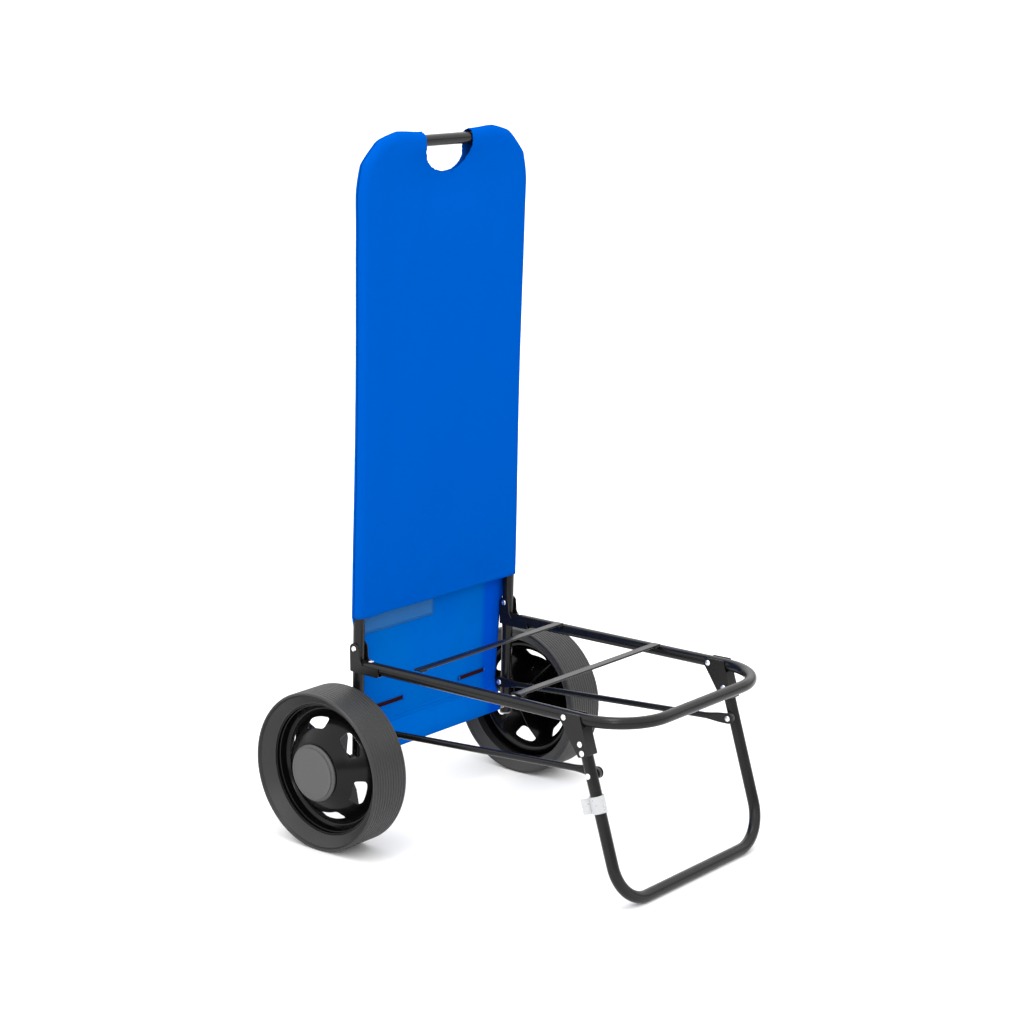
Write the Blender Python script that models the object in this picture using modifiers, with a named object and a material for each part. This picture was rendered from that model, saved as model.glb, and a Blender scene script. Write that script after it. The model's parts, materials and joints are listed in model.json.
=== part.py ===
"""Folding beach cart: a leaning tube frame in a fabric sleeve, two wheels and a fold-down platform.

The frame is metres with +Z up, +X to the cart's own left when it is pushed, and -Y forward.
The origin is on the ground, under the middle of the cart's bounding box.  The platform, its leg
frame and the two struts form a four-bar linkage that folds flat in front of the uprights.
"""
import math

import bmesh
import bpy
from mathutils import Matrix, Vector

# Wheels and axle
WHEEL_RADIUS = 0.125
WHEEL_WIDTH = 0.0715
WHEEL_INNER_X = 0.2045
AXLE_RADIUS = 0.005
AXLE_HALF_LENGTH = 0.2715
TYRE_SEAT_RADIUS = 0.104
RIM_DEPTH = 0.020
HUB_RADIUS = 0.015
HUB_TOP = 0.0710
HUB_WALL = (0.0390, 0.0415)
HUB_CAP_RADIUS = 0.0445
HUB_CAP_DISC = 0.0403
HUB_CAP_WALL = 0.0020
WINDOW_INNER = 0.0666
WINDOW_OUTER = 0.0820
WINDOW_HALF_ANGLE = math.radians(15.5)
WINDOW_COUNT = 6
WINDOW_START = {"left": math.radians(41.5), "right": math.radians(22.0)}
RIB_THICKNESS = 0.0024

# Tube frames
TUBE_RADIUS = 0.009
TUBE_WALL = 0.0012
HALF_WIDTH = 0.180
LEAN = math.radians(1.89)
UPRIGHT_TOP = 0.9455
UPRIGHT_FOOT = -0.0115
UPRIGHT_CORNER = 0.070
PLATFORM_REAR = 0.0160
PLATFORM_FRONT = 0.528
PLATFORM_HEIGHT = 0.2765
PLATFORM_CORNER = 0.085
LEG_CORNER = 0.060
TUBE_SIDES = 12
CORNER_STEPS = 7

# Linkage: along-upright distances from the axle, and forward, height pairs
PLATFORM_PIVOT_ALONG = 0.1786
STRUT_PIVOT_ALONG = 0.0430
LEG_PIVOT = (0.4155, PLATFORM_HEIGHT)
STRUT_LEG_PIVOT = (0.4590, 0.1965)
LEG_FOOT = (0.5155, TUBE_RADIUS)
LEG_TOP_HEIGHT = 0.2635

# Sheet brackets, struts, rivets and spacers
GAP = 0.0003
SHEET = 0.0015
CHANNEL_INNER = TUBE_RADIUS + GAP
CHANNEL_OUTER = CHANNEL_INNER + SHEET
EAR_RADIUS = 0.009
STRUT_RADIUS = 0.005
STRUT_PLANE = 0.1635
STRUT_FLAT = (0.016, 0.003)
RIVET_RADIUS = 0.0025
RIVET_HEAD_RADIUS = 0.0045
RIVET_HEAD_HEIGHT = 0.0020
RIVET_STEPS = 8
SPACER_RADIUS = 0.008
HOLE_RADIUS = RIVET_RADIUS + GAP
AXLE_BORE = AXLE_RADIUS + GAP
CROSSBARS = {"crossbar_rear": 0.121, "crossbar_front": 0.315}
CROSSBAR_SIZE = (0.348, 0.014, 0.003)
CLEVIS_RIVET_FORWARD = 0.031
CLEVIS_FRONT = 0.055
CLEVIS_WALL_TOP = PLATFORM_HEIGHT + 0.003
BRACKET_TOP = PLATFORM_HEIGHT + 0.008
BRACKET_EYE_RADIUS = 0.008
BRACKET_FOOT_DOWN = -0.0285
BRACKET_RIVETS_DOWN = {"upper": -0.0475, "lower": -0.0340}
CLIP_DOWN = 0.0433
CLIP_LENGTH = 0.025
CLIP_WALL = 0.0022
CLIP_SPREAD = 0.01857
CLIP_MOUTH = 0.0035

# Fabric
FABRIC = 0.0012
SLEEVE_INNER = TUBE_RADIUS + GAP
SLEEVE_OUTER = SLEEVE_INNER + FABRIC
SLEEVE_HALF_WIDTH = HALF_WIDTH + SLEEVE_OUTER
SEAM_GAP = 0.0008
FRONT_HEM = 0.2270
HAND_HOLE = (0.054, 0.049)
PANEL_WAIST = 0.155
PANEL_WAIST_HALF_WIDTH = 0.172
PANEL_FOOT_HALF_WIDTH = 0.161

# Where things stand
FRONT_EXTENT = PLATFORM_FRONT + TUBE_RADIUS
AXLE_Y = (FRONT_EXTENT - WHEEL_RADIUS) / 2
AXLE = Vector((0.0, AXLE_Y, WHEEL_RADIUS))
SIDES = {"left": -1.0, "right": 1.0}


def at(x, forward, height):
    """World point from a side distance, a distance in front of the axle, and a height."""
    return Vector((x, AXLE_Y - forward, height))


def on_upright(x, along, behind=0.0):
    """World point from its distance along the leaning uprights, counted from the axle."""
    return AXLE + Matrix.Rotation(LEAN, 3, "X") @ Vector((x, behind, along))


LEG_AXIS = (at(0, *LEG_FOOT) - at(0, *STRUT_LEG_PIVOT)).normalized()
LEG_TILT = math.atan2(-LEG_AXIS.y, -LEG_AXIS.z)


def on_leg(x, down, front=0.0):
    """World point from its distance down the leg from the strut rivet, and in front of its axis."""
    across = Vector((0.0, LEG_AXIS.z, -LEG_AXIS.y))
    return at(x, *STRUT_LEG_PIVOT) + LEG_AXIS * down + across * front


# ---------------------------------------------------------------- scene, materials, placing

def clear_scene():
    for obj in list(bpy.data.objects):
        bpy.data.objects.remove(obj, do_unlink=True)


def new_collection(name):
    collection = bpy.data.collections.new(name)
    bpy.context.scene.collection.children.link(collection)
    return collection


def principled(name, colour, roughness, metallic=0.0):
    material = bpy.data.materials.new(name)
    material.use_nodes = True
    shader = material.node_tree.nodes["Principled BSDF"]
    shader.inputs["Base Color"].default_value = (*colour, 1.0)
    shader.inputs["Roughness"].default_value = roughness
    shader.inputs["Metallic"].default_value = metallic
    return material


def finish(obj, colour, roughness, metallic=0.0):
    """Give a piece its own material and put it in the cart's collection."""
    obj.data.materials.clear()
    obj.data.materials.append(principled(obj.name, colour, roughness, metallic))
    if obj.name not in cart.objects:
        cart.objects.link(obj)
    return obj


def black_coat(obj):
    return finish(obj, (0.012, 0.012, 0.013), 0.3)


def bright_steel(obj):
    return finish(obj, (0.78, 0.78, 0.78), 0.25, 1.0)


def black_plastic(obj):
    return finish(obj, (0.02, 0.02, 0.02), 0.5)


def blue_cloth(obj):
    return finish(obj, (0.0, 0.11, 0.62), 0.75)


def joint_empty(name, location):
    empty = bpy.data.objects.new(name, None)
    empty.location = location
    cart.objects.link(empty)
    return empty


def ride(empty, *pieces):
    """Parent pieces to a joint's empty without moving them."""
    for piece in pieces:
        piece.parent = empty
        piece.matrix_parent_inverse = Matrix.Translation(empty.location).inverted()


def smooth(mesh, angle=35.0):
    mesh.shade_smooth()
    mesh.set_sharp_from_angle(angle=math.radians(angle))


# ---------------------------------------------------------------- shape makers

def mesh_object(name, bm):
    mesh = bpy.data.meshes.new(name)
    bm.to_mesh(mesh)
    bm.free()
    return bpy.data.objects.new(name, mesh)


def turned(name, profile, steps, centre, axis):
    """Turn an (radius, height) profile, listed down its outer side, about an axis."""
    bm = bmesh.new()
    points = [bm.verts.new((radius, 0.0, height)) for radius, height in profile]
    closed = profile[0][0] > 0
    for start, end in zip(points, points[1:] + points[:1] if closed else points[1:]):
        bm.edges.new((start, end))
    obj = mesh_object(name, bm)
    obj.location = centre
    obj.rotation_mode = "QUATERNION"
    obj.rotation_quaternion = Vector(axis).to_track_quat("Z", "Y")
    screw = obj.modifiers.new("turn", "SCREW")
    screw.steps = steps
    screw.render_steps = steps
    screw.use_merge_vertices = True
    screw.merge_threshold = 0.00001
    screw.use_smooth_shade = True
    return obj


def evaluated_mesh(obj):
    if not obj.users_collection:
        workshop.objects.link(obj)
    bpy.context.view_layer.update()
    return bpy.data.meshes.new_from_object(obj.evaluated_get(bpy.context.evaluated_depsgraph_get()))


def rounded_path(corners, radius, steps=CORNER_STEPS):
    """A polyline with each inner corner replaced by an arc of the given radius."""
    path = [corners[0]]
    for before, corner, after in zip(corners, corners[1:], corners[2:]):
        inward = (before - corner).normalized()
        outward = (after - corner).normalized()
        half = inward.angle(outward) / 2
        middle = corner + (inward + outward).normalized() * (radius / math.sin(half))
        start = (corner + inward * (radius / math.tan(half)) - middle).normalized()
        end = (corner + outward * (radius / math.tan(half)) - middle).normalized()
        path += [middle + start.slerp(end, step / steps) * radius for step in range(steps + 1)]
    return path + [corners[-1]]


def tube(name, path, wall=TUBE_WALL):
    """A bent round tube, open at both ends."""
    curve = bpy.data.curves.new(name + "_path", "CURVE")
    curve.dimensions = "3D"
    curve.fill_mode = "FULL"
    curve.bevel_depth = TUBE_RADIUS
    curve.bevel_resolution = TUBE_SIDES // 2 - 2
    spline = curve.splines.new("POLY")
    spline.points.add(len(path) - 1)
    for point, place in zip(spline.points, path):
        point.co = (*place, 1.0)
    guide = bpy.data.objects.new(name + "_path", curve)
    mesh = evaluated_mesh(guide)
    bpy.data.objects.remove(guide, do_unlink=True)
    mesh.name = name
    smooth(mesh)
    obj = bpy.data.objects.new(name, mesh)
    shell = obj.modifiers.new("wall", "SOLIDIFY")
    shell.thickness = wall
    shell.offset = -1.0
    return obj


def plate(name, outline, thickness, centre_x):
    """A flat plate square to X, from its outline in (forward, height) pairs."""
    curve = bpy.data.curves.new(name, "CURVE")
    curve.dimensions = "2D"
    curve.fill_mode = "BOTH"
    curve.extrude = thickness / 2
    spline = curve.splines.new("POLY")
    spline.points.add(len(outline) - 1)
    for point, (forward, height) in zip(spline.points, outline):
        point.co = (AXLE_Y - forward, height, 0.0, 1.0)
    spline.use_cyclic_u = True
    flat = bpy.data.objects.new(name, curve)
    mesh = evaluated_mesh(flat)
    bpy.data.objects.remove(flat, do_unlink=True)
    bm = bmesh.new()
    bm.from_mesh(mesh)
    bmesh.ops.remove_doubles(bm, verts=bm.verts, dist=0.00001)
    bm.to_mesh(mesh)
    bm.free()
    turn = Matrix(((0, 0, 1, centre_x), (1, 0, 0, 0), (0, 1, 0, 0), (0, 0, 0, 1)))
    mesh.transform(turn)
    return bpy.data.objects.new(name, mesh)


def box(name, size, centre, rotation=(0.0, 0.0, 0.0)):
    bm = bmesh.new()
    bmesh.ops.create_cube(bm, size=1.0, matrix=Matrix.Diagonal((*size, 1.0)))
    obj = mesh_object(name, bm)
    obj.location = centre
    obj.rotation_euler = rotation
    return obj


def cylinder(name, radius, length, centre, axis, sides=16):
    bm = bmesh.new()
    bmesh.ops.create_cone(
        bm, cap_ends=True, segments=sides, radius1=radius, radius2=radius, depth=length)
    obj = mesh_object(name, bm)
    obj.location = centre
    obj.rotation_mode = "QUATERNION"
    obj.rotation_quaternion = Vector(axis).to_track_quat("Z", "Y")
    return obj


def cut(obj, cutter, operation="DIFFERENCE"):
    """Cut a piece with a hidden tool, or add the tool to it."""
    cutter.hide_render = True
    cutter.display_type = "WIRE"
    cutters.objects.link(cutter)
    boolean = obj.modifiers.new(cutter.name, "BOOLEAN")
    boolean.operation = operation
    boolean.solver = "EXACT"
    boolean.object = cutter
    return obj


def drill(obj, centre, radius=HOLE_RADIUS, axis=(1, 0, 0), sides=RIVET_STEPS):
    return cut(obj, cylinder(obj.name + "_drill", radius, 0.06, centre, axis, sides))


# ---------------------------------------------------------------- fasteners

def rivet(name, first, last, radius=RIVET_RADIUS):
    """A rivet whose two domed heads lie just outside the points first and last."""
    axis = (last - first).normalized()
    half = (last - first).length / 2 + GAP
    dome = [(RIVET_HEAD_RADIUS, 0.0), (RIVET_HEAD_RADIUS * 0.72, RIVET_HEAD_HEIGHT * 0.72)]
    profile = [(0.0, half + RIVET_HEAD_HEIGHT)]
    profile += [(r, half + h) for r, h in reversed(dome)]
    profile += [(radius, half), (radius, -half)]
    profile += [(r, -half - h) for r, h in dome]
    profile += [(0.0, -half - RIVET_HEAD_HEIGHT)]
    return turned(name, profile, RIVET_STEPS, (first + last) / 2, axis)


def half_rivet(name, head_seat, shank_end, radius=RIVET_RADIUS):
    """One head with its shank, which ends square at the point shank_end."""
    axis = (head_seat - shank_end).normalized()
    length = (head_seat - shank_end).length + GAP
    profile = [(0.0, length + RIVET_HEAD_HEIGHT)]
    profile += [(RIVET_HEAD_RADIUS * 0.72, length + RIVET_HEAD_HEIGHT * 0.72)]
    profile += [(RIVET_HEAD_RADIUS, length), (radius, length), (radius, 0.0), (0.0, 0.0)]
    return turned(name, profile, RIVET_STEPS, shank_end, axis)


def ring(name, inner, outer, start, end, steps=12):
    """A spacer or washer from the point start to the point end."""
    length = (end - start).length
    profile = [(outer, length), (outer, 0.0), (inner, 0.0), (inner, length)]
    return turned(name, profile, steps, start, end - start)


# ---------------------------------------------------------------- back frame

def make_upright_frame():
    corners = [(-HALF_WIDTH, UPRIGHT_FOOT), (-HALF_WIDTH, UPRIGHT_TOP),
               (HALF_WIDTH, UPRIGHT_TOP), (HALF_WIDTH, UPRIGHT_FOOT)]
    frame = tube("upright_frame", rounded_path(
        [Vector((x, 0.0, along)) for x, along in corners], UPRIGHT_CORNER))
    frame.location = AXLE
    frame.rotation_euler = (LEAN, 0.0, 0.0)
    for side in SIDES.values():
        x = side * HALF_WIDTH
        drill(frame, on_upright(x, 0.0), AXLE_BORE, sides=16)
        drill(frame, on_upright(x, PLATFORM_PIVOT_ALONG))
        drill(frame, on_upright(x, STRUT_PIVOT_ALONG))
    return black_coat(frame)


def make_upright_plug(side_name, side):
    """A push-in end cap: a flange as wide as the tube and a stem inside it."""
    stem = TUBE_RADIUS - TUBE_WALL - GAP
    profile = [(0.0, 0.0045), (stem, 0.0045), (stem, -GAP), (TUBE_RADIUS, -GAP),
               (TUBE_RADIUS, -0.0022), (TUBE_RADIUS - 0.0012, -0.0032), (0.0, -0.0032)]
    foot = on_upright(side * HALF_WIDTH, UPRIGHT_FOOT)
    plug = turned("upright_plug_" + side_name, profile, TUBE_SIDES, foot,
                  on_upright(0.0, 1.0) - on_upright(0.0, 0.0))
    return finish(plug, (0.45, 0.46, 0.47), 0.45)


def make_axle():
    rod = cylinder("axle", AXLE_RADIUS, 2 * AXLE_HALF_LENGTH, AXLE, (1, 0, 0))
    smooth(rod.data)
    return bright_steel(rod)


def make_axle_spacer(side_name, side):
    start = on_upright(side * (HALF_WIDTH + TUBE_RADIUS + GAP), 0.0)
    end = on_upright(side * (WHEEL_INNER_X - 0.0018), 0.0)
    return black_plastic(ring("axle_spacer_" + side_name, AXLE_BORE, SPACER_RADIUS, start, end))


def make_axle_washer(side_name, side):
    start = on_upright(side * (WHEEL_INNER_X - 0.0015), 0.0)
    end = on_upright(side * (WHEEL_INNER_X + 0.0012), 0.0)
    return bright_steel(ring("axle_washer_" + side_name, AXLE_BORE, 0.0100, start, end))


def make_axle_push_nut(side_name, side):
    start = on_upright(side * (AXLE_HALF_LENGTH - 0.0022), 0.0)
    end = on_upright(side * (AXLE_HALF_LENGTH - 0.0006), 0.0)
    return bright_steel(ring("axle_push_nut_" + side_name, AXLE_BORE, 0.0090, start, end))


def make_platform_pivot_rivet(side_name, side):
    inner = on_upright(side * (HALF_WIDTH - CHANNEL_OUTER), PLATFORM_PIVOT_ALONG)
    outer = on_upright(side * (HALF_WIDTH + CHANNEL_OUTER), PLATFORM_PIVOT_ALONG)
    return bright_steel(rivet("platform_pivot_rivet_" + side_name, inner, outer))


def strut_faces(side):
    """The inboard and outboard faces of a strut's flattened ends."""
    half = STRUT_FLAT[1] / 2
    return side * (STRUT_PLANE - half), side * (STRUT_PLANE + half)


def make_strut_pivot_rivet(side_name, side):
    inner = on_upright(strut_faces(side)[0], STRUT_PIVOT_ALONG)
    outer = on_upright(side * (HALF_WIDTH + TUBE_RADIUS), STRUT_PIVOT_ALONG)
    return bright_steel(rivet("strut_pivot_rivet_" + side_name, inner, outer))


def make_strut_pivot_spacer(side_name, side):
    start = on_upright(strut_faces(side)[1] + side * GAP, STRUT_PIVOT_ALONG)
    end = on_upright(side * (HALF_WIDTH - TUBE_RADIUS - GAP), STRUT_PIVOT_ALONG)
    spacer = ring("strut_pivot_spacer_" + side_name, HOLE_RADIUS, SPACER_RADIUS, start, end)
    return black_plastic(spacer)


# ---------------------------------------------------------------- fabric sleeve

def sleeve_outline(inset):
    """The sleeve's arch, from foot to foot, drawn in by inset: (x, along) pairs."""
    half = SLEEVE_HALF_WIDTH - inset
    top = UPRIGHT_TOP + SLEEVE_OUTER - inset
    corners = [(-half, FRONT_HEM), (-half, top), (half, top), (half, FRONT_HEM)]
    path = rounded_path([Vector((x, 0.0, along)) for x, along in corners],
                        UPRIGHT_CORNER + SLEEVE_OUTER - inset)
    return [(point.x, point.z) for point in path]


def sleeve_half(facing):
    """One panel of the sleeve with the edge that wraps round the tubes, and its flat face's rim."""
    bm = bmesh.new()
    rows = []
    for quarter in range(4):
        turn = quarter / 3 * math.pi / 2
        inset = SLEEVE_OUTER * (1 - math.cos(turn))
        depth = facing * max(SLEEVE_OUTER * math.sin(turn), SEAM_GAP)
        rows.append([bm.verts.new((x, depth, along)) for x, along in sleeve_outline(inset)])
    for outer, inner in zip(rows, rows[1:]):
        for index in range(len(outer) - 1):
            bm.faces.new((outer[index], outer[index + 1], inner[index + 1], inner[index]))
    bm.faces.new(rows[-1])
    return bm, rows[-1]


def cloth_solid(name, bm, facing):
    """Thicken an open panel inwards, away from the side it faces, and lean it with the uprights."""
    bmesh.ops.recalc_face_normals(bm, faces=bm.faces)
    largest = max(bm.faces, key=lambda face: face.calc_area())
    if largest.normal.y * facing < 0:
        bmesh.ops.reverse_faces(bm, faces=bm.faces)
    obj = mesh_object(name, bm)
    obj.location = AXLE
    obj.rotation_euler = (LEAN, 0.0, 0.0)
    shell = obj.modifiers.new("cloth", "SOLIDIFY")
    shell.thickness = FABRIC
    shell.offset = -1.0
    shell.use_even_offset = True
    return obj


def cut_hand_hole(obj):
    """A half-round notch under the middle of the top tube, which leaves the tube bare."""
    half_width, depth = HAND_HOLE
    tool = cylinder(obj.name + "_hand_hole", 1.0, 0.08, on_upright(0.0, UPRIGHT_TOP), (0, 1, 0), 32)
    tool.data.transform(Matrix.Diagonal((half_width, depth, 1.0, 1.0)))
    tool.rotation_mode = "XYZ"
    tool.rotation_euler = (LEAN + math.pi / 2, 0.0, 0.0)
    cut(obj, tool)
    lid = box(obj.name + "_hand_top", (2 * half_width, 0.08, 0.05),
              on_upright(0.0, UPRIGHT_TOP + 0.025), (LEAN, 0.0, 0.0))
    return cut(obj, lid)


def make_sleeve_front():
    bm = sleeve_half(-1.0)[0]
    return blue_cloth(cut_hand_hole(cloth_solid("sleeve_front", bm, -1.0)))


def panel_half_width(along):
    """The lower panel narrows quickly below the hem, then slowly to the axle."""
    if along > PANEL_WAIST:
        share = (along - PANEL_WAIST) / (FRONT_HEM - PANEL_WAIST)
        return PANEL_WAIST_HALF_WIDTH + (HALF_WIDTH - PANEL_WAIST_HALF_WIDTH) * share
    share = max(along, 0.0) / PANEL_WAIST
    return PANEL_FOOT_HALF_WIDTH + (PANEL_WAIST_HALF_WIDTH - PANEL_FOOT_HALF_WIDTH) * share


def panel_profile():
    """(behind, along) points of the lower panel: down to the axle's front and round it to the back."""
    wrap = AXLE_RADIUS + GAP
    points = [(SLEEVE_OUTER, 0.190), (SLEEVE_OUTER, PANEL_WAIST), (SLEEVE_OUTER, 0.060),
              (0.0098, 0.036), (0.0030, 0.020), (-0.0040, 0.008)]
    for step in range(7):
        turn = math.pi * (1 + step / 6)
        points.append((wrap * math.cos(turn), wrap * math.sin(turn)))
    return points + [(wrap, 0.008)]


def make_sleeve_back():
    """The back panel, which runs on below the front hem and loops round the axle."""
    bm, edge = sleeve_half(1.0)
    row = [edge[0], edge[-1]]
    for behind, along in panel_profile():
        half = panel_half_width(along)
        below = [bm.verts.new((x, behind, along)) for x in (-half, half)]
        bm.faces.new((row[0], row[1], below[1], below[0]))
        row = below
    return blue_cloth(cut_hand_hole(cloth_solid("sleeve_back", bm, 1.0)))


def panel_trim(name, middle_x, width, low, high, thickness):
    """A thin piece that lies on the front of the lower panel."""
    centre = on_upright(middle_x, (low + high) / 2, SLEEVE_INNER - GAP - thickness / 2)
    return box(name, (width, thickness, high - low), centre, (LEAN, 0.0, 0.0))


def make_strap_slot(side_name, side):
    slot = panel_trim("strap_slot_" + side_name, side * 0.100, 0.070, 0.067, 0.073, 0.0010)
    return finish(slot, (0.05, 0.01, 0.02), 0.8)


def make_blank_patch():
    patch = panel_trim("blank_patch", -0.085, 0.170, 0.193, 0.2265, 0.0006)
    return finish(patch, (0.05, 0.16, 0.5), 0.6)


# ---------------------------------------------------------------- platform

def make_platform_frame():
    corners = [(-HALF_WIDTH, PLATFORM_REAR), (-HALF_WIDTH, PLATFORM_FRONT),
               (HALF_WIDTH, PLATFORM_FRONT), (HALF_WIDTH, PLATFORM_REAR)]
    frame = tube("platform_frame", rounded_path(
        [at(x, forward, PLATFORM_HEIGHT) for x, forward in corners], PLATFORM_CORNER))
    for side in SIDES.values():
        x = side * HALF_WIDTH
        drill(frame, at(x, *LEG_PIVOT))
        drill(frame, at(x, CLEVIS_RIVET_FORWARD, PLATFORM_HEIGHT), axis=(0, 0, 1))
    return black_coat(frame)


def make_crossbar(name, forward):
    length, width, thickness = CROSSBAR_SIZE
    centre = at(0.0, forward, PLATFORM_HEIGHT + TUBE_RADIUS + GAP + thickness / 2)
    bar = box(name, (length, width, thickness), centre)
    bevel = bar.modifiers.new("edges", "BEVEL")
    bevel.width = 0.0008
    bevel.segments = 1
    return black_coat(bar)


def clevis_outline():
    """Side view of the clevis: an ear with a round top, and the low wall of its cradle."""
    pivot = on_upright(0.0, PLATFORM_PIVOT_ALONG)
    forward = AXLE_Y - pivot.y
    base = PLATFORM_HEIGHT - CHANNEL_OUTER
    ear = []
    for step in range(9):
        turn = math.pi * (1 - step / 8)
        ear.append((forward + EAR_RADIUS * math.cos(turn), pivot.z + EAR_RADIUS * math.sin(turn)))
    return ear + [(PLATFORM_REAR, 0.288), (0.021, CLEVIS_WALL_TOP), (CLEVIS_FRONT, CLEVIS_WALL_TOP),
                  (CLEVIS_FRONT, base), (PLATFORM_REAR, base), (forward - EAR_RADIUS, base + 0.0015)]


def make_clevis(side_name, side):
    """A channel under the rail's end whose two ears straddle the upright."""
    x = side * HALF_WIDTH
    clevis = plate("clevis_bracket_" + side_name, clevis_outline(), 2 * CHANNEL_OUTER, x)
    floor = PLATFORM_HEIGHT - CHANNEL_INNER
    cut(clevis, box(clevis.name + "_inside", (2 * CHANNEL_INNER, 0.2, 0.1),
                    at(x, 0.0, floor + 0.05)))
    cut(clevis, box(clevis.name + "_behind", (2 * CHANNEL_INNER, 0.1, 0.2),
                    at(x, PLATFORM_REAR - 0.05, floor)))
    drill(clevis, on_upright(x, PLATFORM_PIVOT_ALONG))
    drill(clevis, at(x, CLEVIS_RIVET_FORWARD, PLATFORM_HEIGHT), axis=(0, 0, 1))
    return black_coat(clevis)


def make_clevis_rivet(side_name, side):
    low = at(side * HALF_WIDTH, CLEVIS_RIVET_FORWARD, PLATFORM_HEIGHT - CHANNEL_OUTER)
    high = at(side * HALF_WIDTH, CLEVIS_RIVET_FORWARD, PLATFORM_HEIGHT + TUBE_RADIUS)
    return bright_steel(rivet("clevis_rivet_" + side_name, low, high))


def make_leg_pivot_rivet(side_name, side):
    inner = at(side * (HALF_WIDTH - CHANNEL_OUTER), *LEG_PIVOT)
    outer = at(side * (HALF_WIDTH + CHANNEL_OUTER), *LEG_PIVOT)
    return bright_steel(rivet("leg_pivot_rivet_" + side_name, inner, outer))


# ---------------------------------------------------------------- leg frame

def make_leg_frame():
    rise = (STRUT_LEG_PIVOT[1] - LEG_TOP_HEIGHT) / -LEG_AXIS.z
    foot = (STRUT_LEG_PIVOT[1] - LEG_FOOT[1]) / -LEG_AXIS.z
    corners = [on_leg(-HALF_WIDTH, rise), on_leg(-HALF_WIDTH, foot),
               on_leg(HALF_WIDTH, foot), on_leg(HALF_WIDTH, rise)]
    frame = tube("leg_frame", rounded_path(corners, LEG_CORNER))
    for side in SIDES.values():
        x = side * HALF_WIDTH
        drill(frame, on_leg(x, 0.0))
        for down in BRACKET_RIVETS_DOWN.values():
            drill(frame, on_leg(x, down))
    return black_coat(frame)


def leg_bracket_outline():
    """Side view of the leg bracket: round the pivot, along the rail, down the leg's front."""
    pivot_forward = LEG_PIVOT[0]
    foot_front = on_leg(0.0, BRACKET_FOOT_DOWN, CHANNEL_OUTER)
    foot_back = on_leg(0.0, BRACKET_FOOT_DOWN, -0.0085)
    slope = LEG_AXIS.y / LEG_AXIS.z
    top_front_y = foot_front.y + slope * (BRACKET_TOP - foot_front.z)
    outline = []
    for degrees in (215, 180, 145, 110):
        turn = math.radians(degrees)
        outline.append((pivot_forward + BRACKET_EYE_RADIUS * math.cos(turn),
                        PLATFORM_HEIGHT + BRACKET_EYE_RADIUS * math.sin(turn)))
    outline.append((AXLE_Y - top_front_y, BRACKET_TOP))
    outline.append((AXLE_Y - foot_front.y, foot_front.z))
    outline.append((AXLE_Y - foot_back.y, foot_back.z))
    return outline


def make_leg_bracket(side_name, side):
    """A channel round the front of the leg whose two walls reach up beside the rail."""
    x = side * HALF_WIDTH
    bracket = plate("leg_bracket_" + side_name, leg_bracket_outline(), 2 * CHANNEL_OUTER, x)
    tilt = (-LEG_TILT, 0.0, 0.0)
    inside = on_leg(x, BRACKET_FOOT_DOWN, CHANNEL_INNER - 0.06)
    cut(bracket, box(bracket.name + "_inside", (2 * CHANNEL_INNER, 0.12, 0.3), inside, tilt))
    above = at(x, LEG_PIVOT[0], PLATFORM_HEIGHT - CHANNEL_INNER + 0.05)
    cut(bracket, box(bracket.name + "_above", (2 * CHANNEL_INNER, 0.2, 0.1), above))
    drill(bracket, at(x, *LEG_PIVOT))
    for down in BRACKET_RIVETS_DOWN.values():
        drill(bracket, on_leg(x, down))
    return black_coat(bracket)


def make_leg_bracket_rivet(side_name, side, level, down):
    inner = on_leg(side * (HALF_WIDTH - CHANNEL_OUTER), down)
    outer = on_leg(side * (HALF_WIDTH + CHANNEL_OUTER), down)
    return bright_steel(rivet(f"leg_bracket_rivet_{level}_{side_name}", inner, outer))


def make_strut_leg_rivet(side_name, side):
    """The outboard head and shank, which stop short of the strut's own half."""
    head_seat = on_leg(side * (HALF_WIDTH + TUBE_RADIUS), 0.0)
    shank_end = on_leg(strut_faces(side)[1] + side * 2 * GAP, 0.0)
    return bright_steel(half_rivet("strut_leg_rivet_" + side_name, head_seat, shank_end))


def make_strut_leg_spacer(side_name, side):
    start = on_leg(strut_faces(side)[1] + side * 2 * GAP, 0.0)
    end = on_leg(side * (HALF_WIDTH - TUBE_RADIUS - GAP), 0.0)
    return black_plastic(ring("strut_leg_spacer_" + side_name, HOLE_RADIUS, SPACER_RADIUS, start, end))


def make_fold_clip():
    """A ring on the left leg with an open jaw behind it that snaps on the folded rail."""
    inner = TUBE_RADIUS + GAP
    outer = inner + CLIP_WALL
    centre = on_leg(-HALF_WIDTH, CLIP_DOWN)
    clip = cylinder("fold_clip", outer, CLIP_LENGTH, centre, LEG_AXIS, 24)
    across = on_leg(0.0, 0.0, -1.0) - on_leg(0.0, 0.0, 0.0)
    jaw = cylinder("fold_clip_jaw", outer, CLIP_LENGTH * 0.92, centre + across * CLIP_SPREAD, LEG_AXIS, 24)
    cut(clip, jaw, "UNION")
    tilt = (-LEG_TILT, 0.0, 0.0)
    mouth = centre + across * (CLIP_SPREAD + CLIP_MOUTH + 0.02)
    cut(clip, box("fold_clip_mouth", (0.04, 0.04, 0.06), mouth, tilt))
    for shift in (0.0, CLIP_SPREAD):
        cut(clip, cylinder("fold_clip_bore", inner, 0.06, centre + across * shift, LEG_AXIS, 24))
    cut(clip, box("fold_clip_entry", (2 * inner, 0.02, 0.06),
                  centre + across * (CLIP_SPREAD + 0.01), tilt))
    return finish(clip, (0.85, 0.86, 0.88), 0.25)


# ---------------------------------------------------------------- struts

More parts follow.
